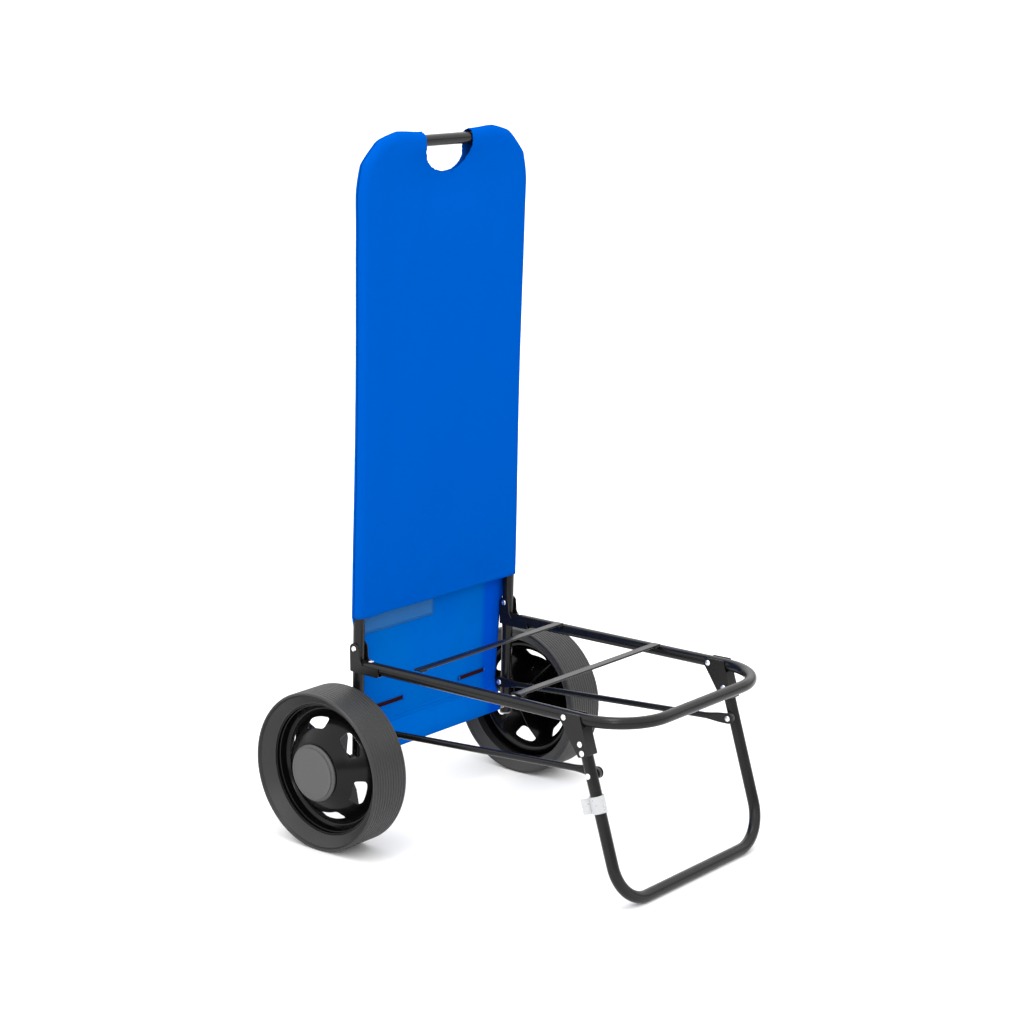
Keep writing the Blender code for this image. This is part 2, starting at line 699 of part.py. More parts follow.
def strut_sections(length):
    """(distance, width across, thickness) along a strut, from past one rivet to past the other."""
    wide, thin = STRUT_FLAT
    round_size = 2 * STRUT_RADIUS
    end = [(-wide * 0.48, wide * 0.36, thin), (-wide * 0.32, wide * 0.84, thin),
           (0.010, wide, thin), (0.026, 0.0130, 0.0065), (0.044, round_size, round_size)]
    return end + [(length - distance, width, depth) for distance, width, depth in reversed(end)]


def make_strut(side_name, side):
    """A round tube pressed flat at both ends, lofted between its unlike sections."""
    start = on_upright(side * STRUT_PLANE, STRUT_PIVOT_ALONG)
    end = at(side * STRUT_PLANE, *STRUT_LEG_PIVOT)
    along = (end - start).normalized()
    across = along.cross(Vector((1.0, 0.0, 0.0))).normalized()
    sides = 12
    bm = bmesh.new()
    rings = []
    for distance, width, depth in strut_sections((end - start).length):
        centre = along * distance
        corners = []
        for index in range(sides):
            turn = 2 * math.pi * (index + 0.5) / sides
            flatness = 1.0 - (depth - STRUT_FLAT[1]) / (2 * STRUT_RADIUS - STRUT_FLAT[1])
            power = 1.0 - 0.75 * flatness
            u = math.copysign(abs(math.cos(turn)) ** power, math.cos(turn)) * width / 2
            v = math.copysign(abs(math.sin(turn)) ** power, math.sin(turn)) * depth / 2
            corners.append(bm.verts.new(centre + across * u + Vector((v, 0.0, 0.0))))
        rings.append(corners)
    for first, second in zip(rings, rings[1:]):
        for index in range(sides):
            after = (index + 1) % sides
            bm.faces.new((first[index], first[after], second[after], second[index]))
    bm.faces.new(rings[0][::-1])
    bm.faces.new(rings[-1])
    bmesh.ops.recalc_face_normals(bm, faces=bm.faces)
    strut = mesh_object("strut_" + side_name, bm)
    strut.location = start
    smooth(strut.data)
    drill(strut, start)
    drill(strut, end)
    return black_coat(strut)


def make_strut_inner_head(side_name, side):
    """The inboard half of a strut-to-leg rivet, which stays in the strut's eye."""
    inner, outer = strut_faces(side)
    head = half_rivet("strut_inner_head_" + side_name,
                      at(inner, *STRUT_LEG_PIVOT), at(outer, *STRUT_LEG_PIVOT))
    return bright_steel(head)


# ---------------------------------------------------------------- wheels

def make_tyre(side_name, side):
    """A hard tread ring: flat tread, hollowed outer wall, shallow inner wall."""
    width = WHEEL_WIDTH
    edge = WHEEL_RADIUS - 0.0015
    profile = [(edge, width), (WHEEL_RADIUS, width - 0.0020), (WHEEL_RADIUS, 0.0020), (edge, 0.0),
               (TYRE_SEAT_RADIUS, 0.010), (TYRE_SEAT_RADIUS, width - RIM_DEPTH)]
    centre = AXLE + Vector((side * WHEEL_INNER_X, 0.0, 0.0))
    tyre = turned("tyre_" + side_name, profile, 48, centre, (side, 0, 0))
    return finish(tyre, (0.045, 0.045, 0.047), 0.6)


def rim_profile():
    """Hub tube, cap seat, bell and barrel of the rim as one closed section."""
    seat = TYRE_SEAT_RADIUS - GAP
    inner, outer = HUB_WALL
    face = [(inner, 0.0640), (inner, HUB_TOP), (0.0470, HUB_TOP - 0.0005)]
    bell = [(WINDOW_INNER, 0.0560), (WINDOW_OUTER, 0.0410), (0.0880, 0.0340), (0.0920, 0.0300),
            (0.0970, 0.0350), (0.1015, 0.0508)]
    barrel = [(seat, 0.0508), (seat, 0.0250)]
    under = [(0.0920, 0.0262), (0.0860, 0.0318), (0.0802, 0.0388), (0.0650, 0.0536),
             (0.0440, 0.0672), (outer, 0.0660), (outer, 0.0600)]
    hub = [(HUB_RADIUS, 0.0600), (HUB_RADIUS, 0.0015), (AXLE_BORE, 0.0015), (AXLE_BORE, 0.0640)]
    return face + bell + barrel + under + hub


def add_ribs(rim, side, start):
    """Ribs on the bell's inner side, from the hub tube outwards, one between each two windows."""
    outline = [(HUB_RADIUS - 0.002, 0.0620), (0.0405, 0.0620), (0.0440, 0.0690), (0.0660, 0.0547),
               (0.0860, 0.0338), (0.0480, 0.0130), (HUB_RADIUS - 0.002, 0.0060)]
    for index in range(WINDOW_COUNT):
        turn = start + (index + 0.5) * 2 * math.pi / WINDOW_COUNT
        radial = Vector((0.0, -math.cos(turn), math.sin(turn)))
        tangent = Vector((1.0, 0.0, 0.0)).cross(radial)
        bm = bmesh.new()
        rows = []
        for half in (-RIB_THICKNESS / 2, RIB_THICKNESS / 2):
            rows.append([bm.verts.new(radial * r + Vector((side * h, 0.0, 0.0)) + tangent * half)
                         for r, h in outline])
        bm.faces.new(rows[0])
        bm.faces.new(rows[1][::-1])
        for k in range(len(outline)):
            after = (k + 1) % len(outline)
            bm.faces.new((rows[0][after], rows[0][k], rows[1][k], rows[1][after]))
        bmesh.ops.recalc_face_normals(bm, faces=bm.faces)
        rib = mesh_object("rib", bm)
        rib.location = rim.location
        cut(rim, rib, "UNION")


def cut_windows(rim, side, start):
    """Six windows through the bell, each bounded by two arcs round the axle."""
    for index in range(WINDOW_COUNT):
        turn = start + index * 2 * math.pi / WINDOW_COUNT
        outline = []
        for radius, way in ((WINDOW_INNER, 1), (WINDOW_OUTER, -1)):
            for share in (-way, -way / 2, 0, way / 2, way):
                angle = turn + share * WINDOW_HALF_ANGLE
                outline.append((radius * math.cos(angle), WHEEL_RADIUS + radius * math.sin(angle)))
        window = plate("window", outline, 0.05, side * (WHEEL_INNER_X + 0.045))
        cut(rim, window)


def make_rim(side_name, side):
    centre = AXLE + Vector((side * WHEEL_INNER_X, 0.0, 0.0))
    rim = turned("rim_" + side_name, rim_profile(), 24, centre, (side, 0, 0))
    add_ribs(rim, side, WINDOW_START[side_name])
    cut_windows(rim, side, WINDOW_START[side_name])
    return black_coat(rim)


def make_hub_cap(side_name, side):
    """A push-in cap: a raised disc on a bevelled flange, and a skirt inside the hub's mouth."""
    skirt = HUB_WALL[0] - GAP
    seat = HUB_TOP + GAP
    face = 0.0785
    profile = [(0.0, face), (HUB_CAP_DISC - 0.0012, face), (HUB_CAP_DISC, face - 0.0012),
               (HUB_CAP_DISC, 0.0762), (HUB_CAP_RADIUS, 0.0745), (HUB_CAP_RADIUS, seat), (skirt, seat),
               (skirt, 0.0660), (skirt - HUB_CAP_WALL, 0.0660),
               (skirt - HUB_CAP_WALL, face - HUB_CAP_WALL), (0.0, face - HUB_CAP_WALL)]
    centre = AXLE + Vector((side * WHEEL_INNER_X, 0.0, 0.0))
    cap = turned("hub_cap_" + side_name, profile, 24, centre, (side, 0, 0))
    return finish(cap, (0.17, 0.17, 0.175), 0.5)


# ---------------------------------------------------------------- the whole cart

def build_back_frame():
    make_upright_frame()
    make_axle()
    make_sleeve_front()
    make_sleeve_back()
    make_blank_patch()
    for side_name, side in SIDES.items():
        make_upright_plug(side_name, side)
        make_axle_spacer(side_name, side)
        make_axle_washer(side_name, side)
        make_axle_push_nut(side_name, side)
        make_platform_pivot_rivet(side_name, side)
        make_strut_pivot_rivet(side_name, side)
        make_strut_pivot_spacer(side_name, side)
        make_strap_slot(side_name, side)


def build_platform():
    hinge = joint_empty("platform_hinge", on_upright(0.0, PLATFORM_PIVOT_ALONG))
    ride(hinge, make_platform_frame())
    for name, forward in CROSSBARS.items():
        ride(hinge, make_crossbar(name, forward))
    for side_name, side in SIDES.items():
        ride(hinge, make_clevis(side_name, side), make_clevis_rivet(side_name, side),
             make_leg_pivot_rivet(side_name, side))


def build_leg():
    hinge = joint_empty("leg_hinge", at(0.0, *LEG_PIVOT))
    ride(hinge, make_leg_frame(), make_fold_clip())
    for side_name, side in SIDES.items():
        ride(hinge, make_leg_bracket(side_name, side), make_strut_leg_rivet(side_name, side),
             make_strut_leg_spacer(side_name, side))
        for level, down in BRACKET_RIVETS_DOWN.items():
            ride(hinge, make_leg_bracket_rivet(side_name, side, level, down))


def build_struts():
    hinge = joint_empty("strut_hinge", on_upright(0.0, STRUT_PIVOT_ALONG))
    for side_name, side in SIDES.items():
        ride(hinge, make_strut(side_name, side), make_strut_inner_head(side_name, side))


def build_wheels():
    for side_name, side in SIDES.items():
        make_tyre(side_name, side)
        make_rim(side_name, side)
        make_hub_cap(side_name, side)


clear_scene()
cart = new_collection("beach_cart")
cutters = new_collection("cutters")
workshop = new_collection("workshop")
build_back_frame()
build_platform()
build_leg()
build_struts()
build_wheels()
bpy.data.collections.remove(workshop)
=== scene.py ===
"""Looks of the folding beach cart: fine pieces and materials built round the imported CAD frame.

Every length is in metres, in the frame's own axes: +Z up, -Y towards the platform's front, and
the left side of the cart at -X.  Pieces take their places from the frame's boxes and joints.
"""

import json
import math

import bmesh
import bpy
from mathutils import Matrix, Vector, noise


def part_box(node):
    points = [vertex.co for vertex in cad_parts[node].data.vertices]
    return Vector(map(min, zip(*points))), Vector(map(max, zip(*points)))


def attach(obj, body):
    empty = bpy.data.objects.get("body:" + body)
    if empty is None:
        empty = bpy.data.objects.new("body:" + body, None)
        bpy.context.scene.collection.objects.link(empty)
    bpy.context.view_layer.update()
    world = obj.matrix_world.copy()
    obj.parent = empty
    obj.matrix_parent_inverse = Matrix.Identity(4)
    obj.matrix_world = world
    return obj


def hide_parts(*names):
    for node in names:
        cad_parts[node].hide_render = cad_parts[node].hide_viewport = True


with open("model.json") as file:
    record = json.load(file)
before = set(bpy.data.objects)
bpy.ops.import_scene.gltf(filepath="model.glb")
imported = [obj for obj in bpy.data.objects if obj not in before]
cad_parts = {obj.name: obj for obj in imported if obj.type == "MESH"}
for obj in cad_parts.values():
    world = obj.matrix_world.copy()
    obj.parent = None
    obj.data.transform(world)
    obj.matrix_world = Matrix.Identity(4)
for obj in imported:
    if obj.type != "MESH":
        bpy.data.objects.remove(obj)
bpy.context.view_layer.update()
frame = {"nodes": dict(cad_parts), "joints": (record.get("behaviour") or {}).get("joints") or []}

SIDES = {"left": -1.0, "right": 1.0}
SCENE = bpy.context.scene


# ---------------------------------------------------------------- places read from the frame

def centre(node):
    low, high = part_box(node)
    return (low + high) / 2


def joint_at(name):
    return Vector(next(joint for joint in frame["joints"] if joint["name"] == name)["pos_m"])


AXLE = centre("axle")
FOLD = joint_at("platform_fold")
LEG_PIVOT = joint_at("leg_fold")
STRUT_PIVOT = joint_at("strut_fold")
DECK_LOW, DECK_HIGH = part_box("platform_frame")
TUBE = (DECK_HIGH.z - DECK_LOW.z) / 2
HALF_WIDTH = DECK_HIGH.x - TUBE
DECK = (DECK_HIGH.z + DECK_LOW.z) / 2

LEAN = math.atan2(AXLE.y - FOLD.y, FOLD.z - AXLE.z)
UPRIGHT_LOW, UPRIGHT_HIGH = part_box("upright_frame")
UPRIGHT_TOP = (UPRIGHT_HIGH.z - TUBE - AXLE.z) / math.cos(LEAN)
UPRIGHT_FOOT = (UPRIGHT_LOW.z + TUBE * math.sin(LEAN) - AXLE.z) / math.cos(LEAN)

LEG_LOW, LEG_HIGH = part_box("leg_frame")
KNEE = centre("strut_leg_rivet_left")
KNEE.x = 0.0
FOOT = Vector((0.0, LEG_LOW.y + TUBE, LEG_LOW.z + TUBE))
LEG_AXIS = (FOOT - KNEE).normalized()
LEG_FRONT = Vector((0.0, LEG_AXIS.z, -LEG_AXIS.y))
LEG_TOP = (LEG_HIGH.z - TUBE * abs(LEG_AXIS.y) - KNEE.z) / LEG_AXIS.z

# Bends, sheet metal and fastener sizes
TUBE_WALL = 0.0012
UPRIGHT_CORNER = 0.070
PLATFORM_CORNER = 0.085
LEG_CORNER = 0.060
TUBE_SIDES = 32
HEM = 0.2270
BOW_DEPTH = 0.0030
GAP = 0.0003
SHEET = 0.0015
CHANNEL_INNER = TUBE + GAP
CHANNEL_OUTER = CHANNEL_INNER + SHEET


def on_leg(x, down, front=0.0):
    """A point from its distance down the leg from the strut rivet, and in front of its axis."""
    return Vector((x, KNEE.y, KNEE.z)) + LEG_AXIS * down + LEG_FRONT * front


# ---------------------------------------------------------------- camera, floor and light

VIEW_AZIMUTH = math.radians(-50.52)
VIEW_ELEVATION = math.radians(12.70)
VIEW_DISTANCE = 3.611
LOOK_AT = Vector((-0.0374, 0.0122, 0.5194))
LENS = 83.8
SENSOR = 36.0
DOME_STRENGTH = 1.9
DOME_STOPS = ((0.0, 0.32), (0.16, 0.42), (0.34, 1.0), (0.70, 1.0))  # (height, share of strength)
BACKDROP_STRENGTH = 1.5
SOFT_BOXES = (  # name, place, target, size, power
    ("overhead", (-0.6, -0.3, 2.6), (0.0, 0.0, 0.3), (0.45, 1.5), 16.0),
    ("front_left", (-2.6, -1.6, 2.0), (0.0, 0.0, 0.4), (0.35, 1.6), 14.0))


def make_camera():
    """A long lens at the left front of the cart, a little above the wheels."""
    data = bpy.data.cameras.new("camera")
    data.lens = LENS
    data.sensor_width = SENSOR
    data.clip_end = 200.0
    camera = bpy.data.objects.new("camera", data)
    back = Vector((math.sin(VIEW_AZIMUTH) * math.cos(VIEW_ELEVATION),
                   -math.cos(VIEW_AZIMUTH) * math.cos(VIEW_ELEVATION),
                   math.sin(VIEW_ELEVATION)))
    camera.location = LOOK_AT + back * VIEW_DISTANCE
    camera.rotation_euler = (-back).to_track_quat("-Z", "Y").to_euler()
    SCENE.collection.objects.link(camera)
    SCENE.camera = camera


def make_soft_box(name, location, target, size, power):
    data = bpy.data.lights.new(name, "AREA")
    data.shape = "RECTANGLE"
    data.size, data.size_y = size
    data.energy = power
    light = bpy.data.objects.new(name, data)
    light.location = location
    light.rotation_euler = (Vector(target) - Vector(location)).to_track_quat("-Z", "Y").to_euler()
    SCENE.collection.objects.link(light)


def make_light():
    """A white studio: the backdrop is pure white, and the light falls from above, dimmer low down."""
    world = bpy.data.worlds.new("studio")
    world.use_nodes = True
    tree = world.node_tree
    dome = tree.nodes["Background"]
    split = tree.nodes.new("ShaderNodeSeparateXYZ")
    ramp = tree.nodes.new("ShaderNodeValToRGB")
    for index, (place, value) in enumerate(DOME_STOPS):
        stop = ramp.color_ramp.elements.new(place) if index > 1 else ramp.color_ramp.elements[index]
        stop.position = place
        stop.color = (value, value, value, 1.0)
    tree.links.new(tree.nodes.new("ShaderNodeTexCoord").outputs["Generated"], split.inputs["Vector"])
    tree.links.new(split.outputs["Z"], ramp.inputs["Fac"])
    tree.links.new(ramp.outputs["Color"], dome.inputs["Color"])
    dome.inputs["Strength"].default_value = DOME_STRENGTH
    backdrop = tree.nodes.new("ShaderNodeBackground")
    backdrop.inputs["Color"].default_value = (1.0, 1.0, 1.0, 1.0)
    backdrop.inputs["Strength"].default_value = BACKDROP_STRENGTH
    seen = tree.nodes.new("ShaderNodeLightPath")
    mixed = tree.nodes.new("ShaderNodeMixShader")
    tree.links.new(seen.outputs["Is Camera Ray"], mixed.inputs["Fac"])
    tree.links.new(dome.outputs["Background"], mixed.inputs[1])
    tree.links.new(backdrop.outputs["Background"], mixed.inputs[2])
    tree.links.new(mixed.outputs["Shader"], tree.nodes["World Output"].inputs["Surface"])
    SCENE.world = world
    SCENE.view_settings.view_transform = "Standard"
    for name, *settings in SOFT_BOXES:
        make_soft_box(name, *settings)


# ---------------------------------------------------------------- materials

def new_material(name, **uniform):
    """A node material; uniform sets the shader's own sockets, such as Roughness=0.3."""
    material = bpy.data.materials.new(name)
    material.use_nodes = True
    shader = material.node_tree.nodes["Principled BSDF"]
    for socket, value in uniform.items():
        shader.inputs[socket.replace("_", " ")].default_value = value
    return material, shader


def add(material, kind, inputs=None, **settings):
    """Add a node; each input is a value or another node's output socket."""
    node = material.node_tree.nodes.new(kind)
    for name, value in settings.items():
        setattr(node, name, value)
    for name, value in (inputs or {}).items():
        if isinstance(value, bpy.types.NodeSocket):
            material.node_tree.links.new(value, node.inputs[name])
        else:
            node.inputs[name].default_value = value
    return node


def link(material, output, socket):
    material.node_tree.links.new(output, socket)


def object_point(material, stretch=(1.0, 1.0, 1.0)):
    """The point in the piece's own axes, in metres, stretched along each axis."""
    point = add(material, "ShaderNodeTexCoord").outputs["Object"]
    return add(material, "ShaderNodeMapping", {"Vector": point, "Scale": stretch}).outputs["Vector"]


def speckle(material, size, detail=2.0, stretch=(1.0, 1.0, 1.0)):
    """Noise from 0 to 1 whose blotches are about that size in metres."""
    point = object_point(material, stretch)
    inputs = {"Vector": point, "Scale": 0.5 / size, "Detail": detail, "Roughness": 0.55}
    return add(material, "ShaderNodeTexNoise", inputs).outputs["Fac"]


def math_node(material, operation, first, second=0.0):
    return add(material, "ShaderNodeMath", {0: first, 1: second}, operation=operation).outputs[0]


def between(material, factor, low, high):
    """A value that runs from low to high as the factor runs from 0.3 to 0.7."""
    inputs = {"Value": factor, "From Min": 0.3, "From Max": 0.7, "To Min": low, "To Max": high}
    return add(material, "ShaderNodeMapRange", inputs).outputs["Result"]


def blend(material, factor, first, second):
    node = add(material, "ShaderNodeMix", {"Factor": factor}, data_type="RGBA")
    for socket, colour in ((node.inputs["A"], first), (node.inputs["B"], second)):
        if isinstance(colour, bpy.types.NodeSocket):
            link(material, colour, socket)
        else:
            socket.default_value = (*colour, 1.0)
    return node.outputs["Result"]


def bump(material, shader, height, depth, strength=1.0):
    node = add(material, "ShaderNodeBump", {"Height": height, "Distance": depth, "Strength": strength})
    link(material, node.outputs["Normal"], shader.inputs["Normal"])


def powder_coat():
    """Black powder coat: a shallow orange peel and a faint satin mottle."""
    material, shader = new_material("powder_coat", IOR=1.5, Specular_IOR_Level=0.24)
    mottle = speckle(material, 0.012, 4.0)
    link(material, blend(material, mottle, (0.004, 0.004, 0.004), (0.008, 0.0077, 0.0073)),
         shader.inputs["Base Color"])
    link(material, between(material, mottle, 0.20, 0.28), shader.inputs["Roughness"])
    bump(material, shader, speckle(material, 0.0009, 1.0), 0.00004, 0.5)
    return material


def zinc():
    """Bright zinc plate with a fine brushed grain."""
    material, shader = new_material("bright_zinc", Metallic=1.0)
    grain = speckle(material, 0.0006, 3.0, (6.0, 1.0, 1.0))
    link(material, blend(material, grain, (0.74, 0.74, 0.73), (0.92, 0.92, 0.93)),
         shader.inputs["Base Color"])
    link(material, between(material, grain, 0.22, 0.36), shader.inputs["Roughness"])
    bump(material, shader, grain, 0.00002, 0.5)
    return material


def moulded(name, dark, light, roughness, grain=0.0007, depth=0.00003, gloss=0.5):
    """Moulded plastic with a fine spark-eroded grain and slight flow mottle."""
    material, shader = new_material(name, IOR=1.49, Specular_IOR_Level=gloss)
    mottle = speckle(material, 0.020, 3.0)
    link(material, blend(material, mottle, dark, light), shader.inputs["Base Color"])
    link(material, between(material, mottle, *roughness), shader.inputs["Roughness"])
    bump(material, shader, speckle(material, grain, 2.0), depth, 0.6)
    return material


def clip_plastic():
    """Milky polypropylene that lets some light through."""
    material, shader = new_material("clip_plastic", Transmission_Weight=0.25, IOR=1.49)
    mottle = speckle(material, 0.004, 2.0)
    link(material, blend(material, mottle, (0.52, 0.53, 0.54), (0.60, 0.61, 0.62)),
         shader.inputs["Base Color"])
    link(material, between(material, mottle, 0.25, 0.40), shader.inputs["Roughness"])
    bump(material, shader, speckle(material, 0.0008, 1.0), 0.00004, 0.5)
    return material


def woven(name, valley, crown, pitch, roughness=(0.50, 0.62), gloss=0.0, relief=0.00012, lower=None):
    """Plain weave in the piece's X and Z: crossing threads, slubs, and broad shade variation."""
    material, shader = new_material(name, Specular_IOR_Level=gloss)
    point = add(material, "ShaderNodeTexCoord").outputs["Object"]
    split = add(material, "ShaderNodeSeparateXYZ", {"Vector": point})
    waves = []
    for axis in ("X", "Z"):
        turn = math_node(material, "MULTIPLY", split.outputs[axis], math.pi / pitch)
        waves.append(math_node(material, "SINE", turn))
    crossing = math_node(material, "MULTIPLY", waves[0], waves[1])
    crossing = math_node(material, "ABSOLUTE", crossing)
    slub = speckle(material, 0.0015, 2.0, (1.0, 1.0, 0.12))
    broad = speckle(material, 0.09, 3.0, (1.6, 1.0, 0.6))
    thread = blend(material, crossing, valley, crown)
    shade = math_node(material, "MULTIPLY_ADD", slub, 0.10)
    shade = math_node(material, "ADD", shade, between(material, broad, 0.0, 0.16))
    colour = blend(material, shade, thread, crown)
    # Below the hem the lower pair of colours paints light coming through the cloth, and shade in a darker
    # band at its right edge.
    if lower:
        colour = painted_through_light(material, split, broad, colour, *lower)
    link(material, colour, shader.inputs["Base Color"])
    link(material, between(material, slub, *roughness), shader.inputs["Roughness"])
    height = math_node(material, "ADD", crossing, math_node(material, "MULTIPLY", slub, 0.6))
    bump(material, shader, height, relief, 0.6)
    return material


def painted_through_light(material, split, broad, colour, thin, painted_dark_band):
    """Painted light below the hem: a lighter blue (thin) stands in for light coming through the single
    layer, and a darker, deeper blue at the right edge and in broad patches is painted shade.
    """
    # Mask for the painted lighter through-light, from just under the hem downwards.
    below = add(material, "ShaderNodeMapRange", {
        "Value": split.outputs["Z"], "From Min": HEM + 0.006, "From Max": HEM - 0.010})
    # Mask for the painted darker band towards the right edge.
    edge = add(material, "ShaderNodeMapRange", {
        "Value": split.outputs["X"], "From Min": 0.118, "From Max": 0.136})
    # Broad patches of the same painted darker blue.
    painted_shade_patches = between(material, broad, 0.0, 1.0)
    painted_shade_share = math_node(material, "MULTIPLY", edge.outputs["Result"], 0.85)
    painted_shade_share = math_node(material, "MAXIMUM", painted_shade_share, math_node(material, "MULTIPLY", painted_shade_patches, 0.35))
    return blend(material, below.outputs["Result"], colour, blend(material, painted_shade_share, thin, painted_dark_band))


def tread_rubber():
    """Blow-moulded tyre plastic: dull black with fine scuffs round the tread."""
    material, shader = new_material("tyre_black", IOR=1.45)
    scuff = speckle(material, 0.0025, 4.0, (3.0, 1.0, 1.0))
    broad = speckle(material, 0.05, 2.0)
    mixed = math_node(material, "ADD", math_node(material, "MULTIPLY", scuff, 0.6),
                      math_node(material, "MULTIPLY", broad, 0.4))
    link(material, blend(material, mixed, (0.012, 0.012, 0.0125), (0.024, 0.024, 0.025)),
         shader.inputs["Base Color"])
    link(material, between(material, mixed, 0.40, 0.55), shader.inputs["Roughness"])
    bump(material, shader, scuff, 0.00006, 0.5)
    return material


def floor_paint():
    material, shader = new_material("floor", Roughness=0.9)
    shade = speckle(material, 0.6, 2.0)
    link(material, blend(material, shade, (0.80, 0.80, 0.80), (0.84, 0.84, 0.84)),
         shader.inputs["Base Color"])
    return material


COAT = powder_coat()
ZINC = zinc()
TYRE = tread_rubber()
RIM = moulded("rim_black", (0.0015, 0.0015, 0.0015), (0.003, 0.003, 0.003), (0.14, 0.20), 0.0012,
              0.00002, 0.20)
CAP = moulded("cap_grey", (0.050, 0.050, 0.051), (0.064, 0.064, 0.065), (0.42, 0.52))
SPACER = moulded("spacer_black", (0.010, 0.010, 0.010), (0.018, 0.018, 0.018), (0.35, 0.45))
PLUG = moulded("plug_grey", (0.22, 0.22, 0.22), (0.30, 0.30, 0.30), (0.35, 0.45))
CLIP = clip_plastic()
# The lower pair is painted light: a lighter blue for light through the single layer below the hem, and a
# darker blue for shade at the right edge and in patches.
CLOTH = woven("blue_cloth", (0.0, 0.056, 0.32), (0.0, 0.074, 0.40), 0.0007,
              lower=((0.0, 0.102, 0.42), (0.0, 0.050, 0.46)))
PATCH = woven("patch_cloth", (0.008, 0.090, 0.27), (0.014, 0.112, 0.33), 0.0004, (0.38, 0.50), 0.10)
WEBBING = woven("slot_webbing", (0.008, 0.002, 0.004), (0.024, 0.006, 0.010), 0.0012)
THREAD = woven("blue_thread", (0.0, 0.060, 0.36), (0.004, 0.095, 0.48), 0.0003)


# ---------------------------------------------------------------- mesh makers

def piece(name, bm, angle=35.0):
    """Turn a bmesh into a linked object, smooth except across edges sharper than the angle."""
    bmesh.ops.remove_doubles(bm, verts=bm.verts, dist=1e-6)
    bmesh.ops.recalc_face_normals(bm, faces=bm.faces)
    mesh = bpy.data.meshes.new(name)
    bm.to_mesh(mesh)
    bm.free()
    mesh.shade_smooth()
    mesh.set_sharp_from_angle(angle=math.radians(angle))
    obj = bpy.data.objects.new(name, mesh)
    SCENE.collection.objects.link(obj)
    return obj


def dress(obj, body, slot, material, *nodes):
    """Give a piece its material, its body and the CAD nodes it stands for; the slot is not used."""
    obj.data.materials.clear()
    obj.data.materials.append(material)
    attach(obj, body)
    if nodes:
        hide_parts(*nodes)
    return obj


def skin(bm, rows, join_rows=False, join_columns=False):
    """Quads between rows of points; rows with one point close to a fan."""
    verts = [[bm.verts.new(point) for point in row] for row in rows]
    for first, second in zip(verts, verts[1:] + (verts[:1] if join_rows else [])):
        count = max(len(first), len(second))
        for index in range(count if join_columns else count - 1):
            after = (index + 1) % count
            corners = []
            for row, place in ((first, index), (first, after), (second, after), (second, index)):
                vert = row[place % len(row)]
                if vert not in corners:
                    corners.append(vert)
            if len(corners) > 2:
                bm.faces.new(corners)
    return verts


def bent_path(corners, radius, spacing=0.03, bend_steps=14):
    """A polyline with rounded corners and evenly spaced points along its straights."""
    stops = [corners[0]]
    for before, corner, after in zip(corners, corners[1:], corners[2:]):
        inward = (before - corner).normalized()
        outward = (after - corner).normalized()
        half = inward.angle(outward) / 2
        middle = corner + (inward + outward).normalized() * (radius / math.sin(half))
        start = (corner + inward * (radius / math.tan(half)) - middle).normalized()
        end = (corner + outward * (radius / math.tan(half)) - middle).normalized()
        stops += [middle + start.slerp(end, step / bend_steps) * radius
                  for step in range(bend_steps + 1)]
    stops.append(corners[-1])
    path = []
    for start, end in zip(stops, stops[1:]):
        steps = max(1, round((end - start).length / spacing))
        path += [start.lerp(end, step / steps) for step in range(steps)]
    return path + [stops[-1]]


def ring_points(place, direction, normal, radius, sides=TUBE_SIDES):
    side = direction.cross(normal).normalized()
    return [place + (normal * math.cos(turn) + side * math.sin(turn)) * radius
            for turn in (2 * math.pi * step / sides for step in range(sides))]


def tube_piece(name, path, normal, radius=TUBE, wall=TUBE_WALL):
    """A hollow round tube along a flat path whose plane has that normal."""
    normal = normal.normalized()
    outer, inner = [], []
    for index, place in enumerate(path):
        before = path[max(index - 1, 0)]
        after = path[min(index + 1, len(path) - 1)]
        direction = (after - before).normalized()
        outer.append(ring_points(place, direction, normal, radius))
        inner.append(ring_points(place, direction, normal, radius - wall))
    bm = bmesh.new()
    skin(bm, outer + inner[::-1], join_rows=True, join_columns=True)
    return piece(name, bm, 50.0)


def fillet(profile, steps=5):
    """Round each (a, b, radius) corner of a profile; a radius of 0 keeps it sharp."""
    points = []
    for index, (a, b, radius) in enumerate(profile):
        corner = Vector((a, b))
        if radius == 0 or index in (0, len(profile) - 1):
            points.append(corner)
            continue
        before = Vector(profile[index - 1][:2]) - corner
        after = Vector(profile[index + 1][:2]) - corner
        half = before.angle(after) / 2
        reach = min(radius / math.tan(half), before.length * 0.49, after.length * 0.49)
        start, end = corner + before.normalized() * reach, corner + after.normalized() * reach
        for step in range(steps + 1):
            share = step / steps
            points.append(start.lerp(corner, share).lerp(corner.lerp(end, share), share))
    return [(point.x, point.y) for point in points]


def turned(bm, profile, origin, axis, steps=40, closed=True):
    """Turn a profile of (radius, height) pairs about an axis through the origin."""
    axis = axis.normalized()
    normal = axis.orthogonal().normalized()
    rows = []
    for radius, height in profile:
        place = origin + axis * height
        rows.append([place] if radius < 1e-7 else ring_points(place, axis, normal, radius, steps))
    skin(bm, rows, join_rows=closed and profile[0][0] > 0, join_columns=True)


def capped(bm, rows):
    """A closed solid from rings of points, with a flat face on each end ring."""
    verts = skin(bm, rows, join_columns=True)
    bm.faces.new(verts[0][::-1])
    bm.faces.new(verts[-1])


def prism(bm, outline, low, high):
    """A solid between X = low and X = high from a (y, z) outline."""
    capped(bm, [[Vector((x, y, z)) for y, z in outline] for x in (low, high)])


def soften(obj, width, segments=2, angle=40.0):
    """Round a piece's sharp edges."""
    bevel = obj.modifiers.new("edges", "BEVEL")
    bevel.width = width
    bevel.segments = segments
    bevel.angle_limit = math.radians(angle)
    bevel.harden_normals = True
    return obj


# ---------------------------------------------------------------- tube frames

